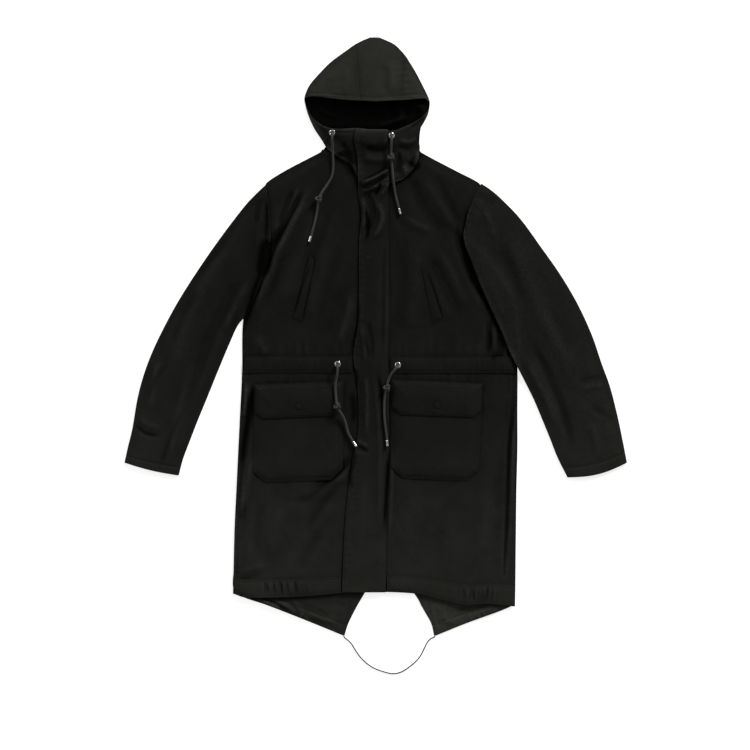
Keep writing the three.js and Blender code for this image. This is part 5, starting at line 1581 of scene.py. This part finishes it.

# Painted shade where the cloth folds in under itself, deeper than a map of heights can hold, in
# the mouths of pockets and between gathers. Rows as in the tables of folds, but with a darkness
# of painted shade from 0 to 1 in place of a height.
PAINTED_SHADE_STROKES = [
    # The right armpit
    (1.2, 7, 6, [
        (-176, 256), (-190, 230), (-217, 182), (-230, 156), (-243, 125), (-257, 86), (-268, 50),
        (-280, 14), (-290, -30)]),
    (1.6, 15, 14, [(-222, 212), (-230, 180), (-234, 150), (-242, 122)]),
    (0.9, 5, 4, [(-228, 300), (-228, 260), (-229, 220), (-230, 190)]),
    # The left armpit
    (1.1, 5, 4, [
        (160, 256), (172, 222), (188, 171), (203, 133), (213, 108), (240, 52), (266, -10),
        (280, -45)]),
    (1.2, 8, 8, [(186, 180), (198, 148), (206, 125), (212, 106)]),
    (0.6, 3, 3, [(189, 272), (189, 235), (190, 205)]),
    # The mouths of the chest pockets
    (1.0, 1.8, 1.8, [(-134, 160), (-156, 98), (-172, 42)]),
    (0.6, 2.2, 2.2, [(-132, 132), (-148, 60), (-159, 18)]),
    (1.0, 1.8, 1.8, [(101, 153), (119, 108), (138, 51), (145, 26)]),
    # Collar and neck
    (0.7, 9, 9, [(-52, 412), (-14, 397), (16, 394), (60, 404)]),
    (0.9, 5, 5, [(-94, 381), (-66, 379), (-50, 360), (-42, 328)]),
    (0.9, 4, 4, [(98, 368), (78, 346), (62, 328)]),
    (0.9, 3, 3, [(-34, 325), (-12, 334), (12, 346), (34, 360)]),
    (0.9, 3, 3, [(-34, 302), (-12, 312), (12, 328), (36, 345)]),
    (0.9, 3, 3, [(-1, 290), (5, 306), (13, 326)]),
    (0.9, 3, 3, [(31, 326), (38, 305), (42, 286)]),
    (0.9, 5, 5, [(-87, 383), (-60, 383), (-47, 356)]),
    (0.9, 5, 5, [(62, 371), (80, 360), (95, 349)]),
    # The hollow of the placket and its edges
    (1.1, 4, 5, [(-25, 276), (-17, 250), (-15, 222), (-22, 194)]),
    (0.8, 3, 3, [(-36, 100), (-36, 40), (-46, -10), (-54, -48)]),
    (0.6, 4, 4, [(-27, 8), (-18, -22), (-12, -46)]),
    (0.8, 3, 3, [(-39, -62), (-39, -90), (-40, -112)]),
    (1.1, 4, 3, [(4, -66), (11, -112), (16, -148), (18, -205)]),
    (1.1, 4, 4, [(27, -225), (26, -274), (22, -343), (18, -420)]),
    (0.8, 7, 6, [(-52, -112), (-46, -150), (-46, -190)]),
    (0.8, 4, 5, [(-48, -225), (-44, -255), (-52, -290), (-50, -330)]),
    # The right side of the skirt and the folds below the cord's end
    (1.0, 5, 6, [(-253, -92), (-262, -145), (-274, -215), (-284, -290)]),
    (0.5, 7, 8, [(-50, -245), (-88, -298), (-160, -352)]),
    (0.4, 9, 9, [(-70, -300), (-110, -350), (-150, -420)]),
    # The left side
    (0.8, 3, 4, [(289, -100), (289, -160), (282, -222), (278, -343), (275, -420), (268, -500)]),
    (0.7, 5, 5, [(240, 20), (246, -24), (250, -60)]),
    # Gathers along the hem
    (0.7, 2.2, 2.4, [(-231, -512), (-227, -524), (-224, -540)]),
    (0.6, 2.0, 2.0, [(-214, -512), (-211, -526), (-207, -541)]),
    (0.8, 2.4, 2.2, [(-202, -510), (-197, -525), (-195, -541)]),
    (0.5, 1.8, 2.0, [(-186, -512), (-184, -525), (-179, -540)]),
    (0.6, 2.2, 2.2, [(-169, -512), (-165, -526), (-163, -540)]),
    (0.4, 2.0, 2.0, [(-148, -511), (-146, -524), (-142, -538)]),
    (0.4, 2.2, 2.2, [(184, -524), (186, -538), (191, -552)]),
    (0.5, 2.0, 2.2, [(203, -528), (206, -541), (209, -556)]),
    (0.4, 2.0, 2.0, [(226, -530), (227, -544), (232, -558)]),
    # Sleeves
    (0.3, 3, 3, [(-512, -176), (-494, -195), (-476, -205), (-446, -208)]),
    (0.3, 7, 7, [(312, 20), (356, -62), (400, -175), (414, -249)]),
]


def mean_round(reach):
    """The mean height round each square, of the squares that hold cloth alone."""
    covered = (pile > 0).astype(float)
    return blurred(pile, reach) / np.maximum(blurred(covered, reach), 1e-3)


means = {name: mean_round(reach) for name, reach in SURROUNDINGS.items()}


def of_kind(rows, panel_name, otherwise):
    """The entry of a table for the kind that a panel's name starts with."""
    return next((value for kind, value in rows.items() if panel_name.startswith(kind)), otherwise)


def note_relief(panel_name, cloth):
    """Writes two values onto a panel: how worn and lit, and how deep in painted shade, each of its points is.
    """
    x, y = cloth["x"], cloth["y"]
    above = {name: cloth["top"] - sample(mean, x, y) for name, mean in means.items()}
    wear_and_highlight = sum(np.clip(above[name] / CREST[name], 0, 1) for name in means) / 2
    hollow_shade = sum(np.clip(-above[name] / HOLLOW[name], 0, 1) for name in means) / 2
    shares = of_kind(SHARES, panel_name, (1, 1))
    own = folds(x, y, of_kind(OWN_FOLDS, panel_name, [])) / FOLD_TONE
    wear_and_highlight = wear_and_highlight * shares[0] + OWN_SHARE["wear_and_highlight"] * np.clip(own, 0, 1)
    hollow_shade = hollow_shade * shares[1] + OWN_SHARE["hollow_shade"] * np.clip(-own, 0, 1)
    wear_and_highlight += LIGHTER_ALL_OVER.get(panel_name, 0)
    if not panel_name.startswith("back"):
        # Painted shade from the strokes: it darkens these places and takes away their wear and highlight.
        deep = np.clip(folds(x, y, PAINTED_SHADE_STROKES), 0, 1)
        wear_and_highlight, hollow_shade = wear_and_highlight * (1 - deep), hollow_shade + deep
    mesh = cloth["piece"].data
    for label, value in (("wear_and_highlight", wear_and_highlight), ("hollow_shade", hollow_shade)):
        values = np.zeros(len(mesh.vertices), np.float32)
        values[cloth["points"].ravel()] = np.clip(value, 0, 1).ravel()
        mesh.attributes.new(label, "FLOAT", "POINT").data.foreach_set("value", values)
    return float(hollow_shade.mean())


print("mean hollow:", {name: round(note_relief(name, cloth), 3) for name, cloth in laid.items()})

# %% [markdown]
# ## Patterns that the materials share
#
# Canvas, lining and braid are all woven, washed and rubbed. Each of these three effects is a node
# group with inputs of its own. The weave is two sets of threads that go over and under each
# other: the product of two sines, one along each thread direction. The wash is cloudy noise. The
# rubbing breaks the wear and painted highlight, which each panel carries as an attribute of its
# points, into grains.

# %% Patterns that the materials share
def group(name, inputs, outputs):
    """An empty node group with its sockets. Inputs are (name, kind, value), outputs (name, kind)."""
    tree = bpy.data.node_groups.new(name, "ShaderNodeTree")
    for label, kind, value in inputs:
        socket = tree.interface.new_socket(label, in_out="INPUT", socket_type="NodeSocket" + kind)
        if value is not None:
            socket.default_value = value
    for label, kind in outputs:
        tree.interface.new_socket(label, in_out="OUTPUT", socket_type="NodeSocket" + kind)
    return tree, tree.nodes.new("NodeGroupInput"), tree.nodes.new("NodeGroupOutput")


def join(tree, source, target):
    tree.links.new(source, target)


def calculate(tree, operation, a, b=None):
    """A Math node; a and b are sockets or numbers."""
    node = tree.nodes.new("ShaderNodeMath")
    node.operation = operation
    for socket, value in zip(node.inputs, (a, b)):
        if isinstance(value, (int, float)):
            socket.default_value = value
        elif value is not None:
            join(tree, value, socket)
    return node.outputs[0]


def blended(tree, share, a, b, mode="MIX"):
    """A Mix node for colours; share, a and b are sockets or values."""
    node = tree.nodes.new("ShaderNodeMix")
    node.data_type, node.blend_type = "RGBA", mode
    for socket, value in ((node.inputs[0], share), (node.inputs[6], a), (node.inputs[7], b)):
        if hasattr(value, "is_output"):
            join(tree, value, socket)
        else:
            socket.default_value = value
    return node.outputs[2]


def noise(tree, vector, scale, detail=3.0, rough=0.55):
    node = tree.nodes.new("ShaderNodeTexNoise")
    node.inputs["Scale"].default_value = scale
    node.inputs["Detail"].default_value = detail
    node.inputs["Roughness"].default_value = rough
    join(tree, vector, node.inputs["Vector"])
    return node.outputs["Fac"]


def ramp(tree, value, low, high):
    """A value from 0 to 1 as another one passes from low to high."""
    node = tree.nodes.new("ShaderNodeMapRange")
    node.interpolation_type = "SMOOTHSTEP"
    node.inputs["From Min"].default_value, node.inputs["From Max"].default_value = low, high
    join(tree, value, node.inputs["Value"])
    return node.outputs["Result"]


weave, inlet, outlet = group(
    "weave", [("Vector", "Vector", None), ("Pitch", "Float", 0.0007)], [("Height", "Float")])
split = weave.nodes.new("ShaderNodeSeparateXYZ")
join(weave, inlet.outputs["Vector"], split.inputs[0])
waves = []
for axis in (0, 1):
    turns = calculate(weave, "DIVIDE", split.outputs[axis], inlet.outputs["Pitch"])
    waves.append(calculate(weave, "SINE", calculate(weave, "MULTIPLY", turns, 2 * math.pi)))
join(weave, calculate(weave, "MULTIPLY", *waves), outlet.inputs["Height"])

wash, inlet, outlet = group(
    "wash", [("Vector", "Vector", None), ("Cloud", "Float", 14.0), ("Fleck", "Float", 320.0)],
    [("Cloud", "Float"), ("Fleck", "Float")])
clouds = noise(wash, inlet.outputs["Vector"], 14, 5, 0.6)
flecks = noise(wash, inlet.outputs["Vector"], 320, 2)
join(wash, inlet.outputs["Cloud"], clouds.node.inputs["Scale"])
join(wash, inlet.outputs["Fleck"], flecks.node.inputs["Scale"])
join(wash, clouds, outlet.inputs["Cloud"])
join(wash, flecks, outlet.inputs["Fleck"])

rub_and_highlight, inlet, outlet = group(
    "rub_and_highlight", [("Vector", "Vector", None), ("Worn", "Float", 0.0), ("Grain", "Float", 160.0)],
    [("Mask", "Float")])
grain = noise(rub_and_highlight, inlet.outputs["Vector"], 160, 4, 0.65)
join(rub_and_highlight, inlet.outputs["Grain"], grain.node.inputs["Scale"])
grainy = calculate(rub_and_highlight, "ADD", ramp(rub_and_highlight, grain, 0.3, 0.62), 0.25)
speckled = calculate(rub_and_highlight, "MULTIPLY", inlet.outputs["Worn"], grainy)
join(rub_and_highlight, calculate(rub_and_highlight, "MINIMUM", speckled, 1.0), outlet.inputs["Mask"])
print("node groups:", [tree.name for tree in (weave, wash, rub_and_highlight)])


# %% Making a material
def material(name, rough, specular, sheen=0.0, metallic=0.0):
    """A material with its shader. Numbers that are the same all over are set on the shader itself."""
    made = bpy.data.materials.new(name)
    made.use_nodes = True
    shader = made.node_tree.nodes["Principled BSDF"]
    shader.inputs["Roughness"].default_value = rough
    shader.inputs["Specular IOR Level"].default_value = specular
    shader.inputs["Sheen Weight"].default_value = sheen
    shader.inputs["Sheen Roughness"].default_value = 0.5
    shader.inputs["Metallic"].default_value = metallic
    return made, made.node_tree, shader


def place_group(tree, inner, **values):
    node = tree.nodes.new("ShaderNodeGroup")
    node.node_tree = inner
    for label, value in values.items():
        if hasattr(value, "is_output"):
            join(tree, value, node.inputs[label])
        else:
            node.inputs[label].default_value = value
    return node


def coordinates(tree):
    return tree.nodes.new("ShaderNodeTexCoord").outputs["Object"]


def cloth_map(tree):
    node = tree.nodes.new("ShaderNodeUVMap")
    node.uv_map = "cloth"
    return node.outputs[0]


def attribute(tree, name):
    node = tree.nodes.new("ShaderNodeAttribute")
    node.attribute_name = name
    return node.outputs["Fac"]


def bump(tree, shader, height, distance, strength):
    """A relief that only the light sees: a height as a share of a distance in metres."""
    node = tree.nodes.new("ShaderNodeBump")
    node.inputs["Strength"].default_value = strength
    node.inputs["Distance"].default_value = distance
    join(tree, height, node.inputs["Height"])
    join(tree, node.outputs[0], shader.inputs["Normal"])


def grey(value, warm=0.12):
    """A dark grey that is a little warm, as black dye is once it has been washed."""
    return (value, value, value * (1 - warm), 1.0)


# %% [markdown]
# ## Canvas
#
# The canvas is black cotton that has been washed: its folds and edges are rubbed grey, and painted
# lighter where the light catches them. Its hollows are painted dark, as the shade in them. The
# chest is painted darker than hood, cuffs and hem, and the hood lighter still, for the light that
# falls on them. A plain black would hide all of this. Washed cotton has hardly any gloss, so its
# specular level is close to none: with more, the hollows would shine grey. A little sheen stands
# for the fuzz of its fibres.

# %% Canvas
TONES = {"dark": 0.0088, "light": 0.0158, "rubbed_and_lit": 0.034, "thread": 0.009, "lining": 0.0016, "cord": 0.024}
# The scales of the noises, the shade of a cloud, the tone of painted shade in a hollow and the share
# of rubbed grey with painted highlight
WASHED = {"cloud": 15.0, "fleck": 420.0, "grain": 190.0, "shade": 0.78, "hollow_shade": 0.1, "rubbed_and_lit": 0.55}
# Where the canvas is painted darker as shade on the chest: its middle and size in metres, and the shares over
# which it fades to the lighter tone.
CHEST = {"x": 0.03, "y": 0.1, "wide": 0.68, "deep": 0.48, "dark_to": 0.4, "light_from": 1.35}
HOOD_PAINTED_LIGHT = {"from": 0.41, "to": 0.46, "more": 1.28}  # the hood is painted lighter, for the light that falls on it


def chest_shade(tree, vector):
    """1 far from the chest and 0 on it, where the canvas is painted darker as shade: the length
    from its middle, in shares of its size.
    """
    move = tree.nodes.new("ShaderNodeMapping")
    move.inputs["Location"].default_value = (-CHEST["x"] / CHEST["wide"], -CHEST["y"] / CHEST["deep"], 0)
    move.inputs["Scale"].default_value = (1 / CHEST["wide"], 1 / CHEST["deep"], 0)
    join(tree, vector, move.inputs["Vector"])
    length = tree.nodes.new("ShaderNodeVectorMath")
    length.operation = "LENGTH"
    join(tree, move.outputs[0], length.inputs[0])
    return ramp(tree, length.outputs["Value"], CHEST["dark_to"], CHEST["light_from"])


def canvas_like(name, dark, light, rubbed_and_lit, rough, specular, sheen, pitch, relief):
    made, tree, shader = material(name, rough, specular, sheen)
    here, flat = coordinates(tree), cloth_map(tree)
    washed = place_group(tree, wash, Vector=here, Cloud=WASHED["cloud"], Fleck=WASHED["fleck"])
    wear_and_highlight = place_group(tree, rub_and_highlight, Vector=here, Worn=attribute(tree, "wear_and_highlight"), Grain=WASHED["grain"])
    threads_up = place_group(tree, weave, Vector=flat, Pitch=pitch)
    cloud = ramp(tree, washed.outputs["Cloud"], 0.28, 0.72)
    # Painted light and shade: darker on the chest, lighter far from it, and lighter still on the hood.
    base = blended(tree, chest_shade(tree, here), grey(dark), grey(light))
    split = tree.nodes.new("ShaderNodeSeparateXYZ")
    join(tree, here, split.inputs[0])
    high = ramp(tree, split.outputs[1], HOOD_PAINTED_LIGHT["from"], HOOD_PAINTED_LIGHT["to"])
    base = blended(tree, high, base, grey(light * HOOD_PAINTED_LIGHT["more"]))
    shaded = blended(tree, 1.0, base, (*[WASHED["shade"]] * 3, 1), "MULTIPLY")
    base = blended(tree, cloud, shaded, base)
    # Painted shade: the hollows and the strokes take a far darker tone.
    base = blended(tree, attribute(tree, "hollow_shade"), base, grey(dark * WASHED["hollow_shade"]))
    # Rubbed crests: wear, and painted highlight where the light catches them.
    wear_and_highlight_share = calculate(tree, "MULTIPLY", wear_and_highlight.outputs["Mask"], WASHED["rubbed_and_lit"])
    base = blended(tree, wear_and_highlight_share, base, grey(rubbed_and_lit))
    speck = calculate(tree, "MULTIPLY_ADD", washed.outputs["Fleck"], 0.5)
    speck.node.inputs[2].default_value = 0.75
    join(tree, blended(tree, 1.0, base, speck, "MULTIPLY"), shader.inputs["Base Color"])
    uneven = calculate(tree, "MULTIPLY_ADD", washed.outputs["Cloud"], 0.16)
    uneven.node.inputs[2].default_value = rough - 0.08
    join(tree, uneven, shader.inputs["Roughness"])
    height = calculate(tree, "ADD", calculate(tree, "MULTIPLY", threads_up.outputs["Height"], 0.5),
                       calculate(tree, "MULTIPLY", washed.outputs["Fleck"], 0.7))
    bump(tree, shader, height, relief, 0.55)
    return made


canvas = canvas_like("canvas", TONES["dark"], TONES["light"], TONES["rubbed_and_lit"],
                     rough=0.86, specular=0.01, sheen=0.01, pitch=0.0008, relief=0.00022)
# The hood's lining is black cloth of its own, painted darker still as the shade inside the hood.
lining = canvas_like("lining", TONES["lining"], TONES["lining"], 0.004,
                     rough=0.9, specular=0.02, sheen=0.0, pitch=0.0005, relief=0.0001)
print("canvas nodes:", len(canvas.node_tree.nodes))

# %% [markdown]
# ## Cord, thread and nickel
#
# The cords are a little greyer than the cloth and furry between the strands. The thread is
# smoother than both, so it catches the light. The nickel is bright, with fine turning marks and
# dull spots where it has been touched.

# %% Cord, thread and nickel
cord_cloth, tree, shader = material("cord", 0.8, 0.2, 0.12)
here = coordinates(tree)
washed = place_group(tree, wash, Vector=here, Cloud=90.0, Fleck=900.0)
fibre = place_group(tree, weave, Vector=cloth_map(tree), Pitch=0.0009)
flecked = ramp(tree, washed.outputs["Fleck"], 0.3, 0.7)
tone = blended(tree, flecked, grey(TONES["cord"] * 0.7), grey(TONES["cord"] * 1.3))
clouded = calculate(tree, "MULTIPLY", washed.outputs["Cloud"], 0.4)
join(tree, blended(tree, clouded, tone, grey(TONES["cord"])), shader.inputs["Base Color"])
bump(tree, shader, calculate(tree, "ADD", fibre.outputs["Height"], washed.outputs["Fleck"]), 0.00012, 0.6)

thread_cloth, tree, shader = material("thread", 0.7, 0.1)
here = coordinates(tree)
twisted = place_group(tree, wash, Vector=here, Cloud=60.0, Fleck=2600.0)
join(tree, blended(tree, twisted.outputs["Cloud"], grey(TONES["thread"] * 0.7), grey(TONES["thread"] * 1.4)),
     shader.inputs["Base Color"])
bump(tree, shader, twisted.outputs["Fleck"], 0.0001, 0.5)

tail_cloth, tree, shader = material("tail cord", 0.85, 0.02)
wound = place_group(tree, wash, Vector=coordinates(tree), Cloud=90.0, Fleck=900.0)
dark = blended(tree, wound.outputs["Fleck"], grey(TONES["lining"]), grey(TONES["dark"]))
join(tree, dark, shader.inputs["Base Color"])
bump(tree, shader, wound.outputs["Fleck"], 0.0001, 0.5)

nickel, tree, shader = material("nickel", 0.3, 0.5, metallic=1.0)
here = coordinates(tree)
touched = place_group(tree, wash, Vector=here, Cloud=260.0, Fleck=1700.0)
spots = ramp(tree, touched.outputs["Cloud"], 0.35, 0.7)
join(tree, blended(tree, spots, (0.5, 0.49, 0.46, 1), (0.8, 0.79, 0.77, 1)), shader.inputs["Base Color"])
dull = calculate(tree, "MULTIPLY_ADD", touched.outputs["Cloud"], 0.25)
dull.node.inputs[2].default_value = 0.14
join(tree, dull, shader.inputs["Roughness"])
bump(tree, shader, touched.outputs["Fleck"], 0.00004, 0.4)
print("materials:", [m.name for m in bpy.data.materials])

# %% [markdown]
# ## Dressing the pieces
#
# Every piece stands for one imported solid, rides on the coat's one body and is given the
# finish it is made in.

# %% Dressing the pieces
PLACED_ON = {
    "hood_back": [], "back_right": [], "back_left": [], "hood_upper_right": ["hood_back"],
    "hood_centre": ["hood_back"], "hood_upper_left": ["hood_back"], "front_right": ["back_right"],
    "front_left": ["back_left"], "hood_lower_right": ["front_right"], "hood_lower_left": ["front_left"],
    "waist_casing_right": ["front_right"], "waist_casing_left": ["front_left"],
    "hem_casing_right": ["front_right"], "hem_casing_left": ["front_left"], "pocket_right": ["front_right"],
    "pocket_left": ["front_left"], "flap_right": ["pocket_right"], "flap_left": ["pocket_left"],
    "welt_right": ["front_right"], "welt_left": ["front_left"], "placket": ["front_right", "front_left"],
    "sleeve_right": ["back_right", "front_right"], "sleeve_left": ["back_left", "front_left"],
}


def cloth_name(node):
    return "hood_back_inside" if node == "hood_back" else node + "_cloth"


def dress(piece, finish, slot, *nodes):
    piece.data.materials.append(finish)
    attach(piece, "root")
    if nodes:
        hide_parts(*nodes)


for node, under in PLACED_ON.items():
    name = cloth_name(node)
    dark = node == "hood_back"
    cloth = laid[name]
    dress(cloth["piece"], lining if dark else canvas, "lining" if dark else "canvas", node)
    sewn = [threads[name]] if name in threads else []
    for thread in sewn:
        dress(thread, thread_cloth, "canvas")
    if node.startswith("sleeve"):
        across = np.hypot(cloth["x"][:, -1] - cloth["x"][:, 0], cloth["y"][:, -1] - cloth["y"][:, 0])

for name, line in cord_lines.items():
    tail = name == "tail"
    ends = [] if tail else [knots[name], tips[name]]
    dress(cords[name], tail_cloth if tail else cord_cloth, "cord", "cord_" + name)
    if ends:
        dress(knots[name], cord_cloth, "cord", "knot_" + name)
        dress(tips[name], nickel, "nickel", "tip_" + name)

for name, (ring, hole) in eyelets.items():
    dress(ring, nickel, "nickel", "eyelet_" + name)
    # The eyelets' discs of painted shade take the dark lining cloth.
    dress(hole, lining, "lining")

# %% [markdown]
# ## Floor and light
#
# A pale floor under soft light, as on a copy stand: white all round, and two wide, low lamps, the
# stronger one beyond the hood and a little to the right, so that each fold has a light flank and
# a dark one.

# %% Floor and light
FLOOR = {"half": 6.0, "below": 0.0006, "white": 0.5, "glow": 0.75}
SKY = 0.3
LAMPS = {
    "key": {"from": (0.5, 0.8, 0.42), "soft": 18, "strength": 4.6},
    "side": {"from": (-0.9, 0.4, 0.45), "soft": 30, "strength": 1.0},
}

half = FLOOR["half"]
corners = [(-half, -half), (half, -half), (half, half), (-half, half)]
ground_mesh = bpy.data.meshes.new("floor")
ground_mesh.from_pydata([(x, y, -FLOOR["below"]) for x, y in corners], [], [(0, 1, 2, 3)])
floor = bpy.data.objects.new("floor", ground_mesh)
bpy.context.scene.collection.objects.link(floor)
paper, tree, shader = material("paper", 0.95, 0.0)
shader.inputs["Emission Color"].default_value = (1, 1, 1, 1)
shader.inputs["Emission Strength"].default_value = FLOOR["glow"]
white = FLOOR["white"]
mottled = noise(tree, coordinates(tree), 3.0)
join(tree, blended(tree, mottled, (white, white, white, 1), (white * 1.01, white * 1.01, white, 1)),
     shader.inputs["Base Color"])
floor.data.materials.append(paper)

world = bpy.data.worlds.new("white room")
world.use_nodes = True
world.node_tree.nodes["Background"].inputs["Color"].default_value = (1, 1, 1, 1)
world.node_tree.nodes["Background"].inputs["Strength"].default_value = SKY
bpy.context.scene.world = world

for name, lamp in LAMPS.items():
    data = bpy.data.lights.new(name, "SUN")
    data.energy, data.angle = lamp["strength"], math.radians(lamp["soft"])
    light = bpy.data.objects.new(name, data)
    x, y, z = lamp["from"]
    light.rotation_euler = (math.atan2(math.hypot(x, y), z), 0, math.atan2(y, x) + math.pi / 2)
    bpy.context.scene.collection.objects.link(light)

bpy.context.scene.view_settings.view_transform = "Standard"
print("lamps:", list(LAMPS))
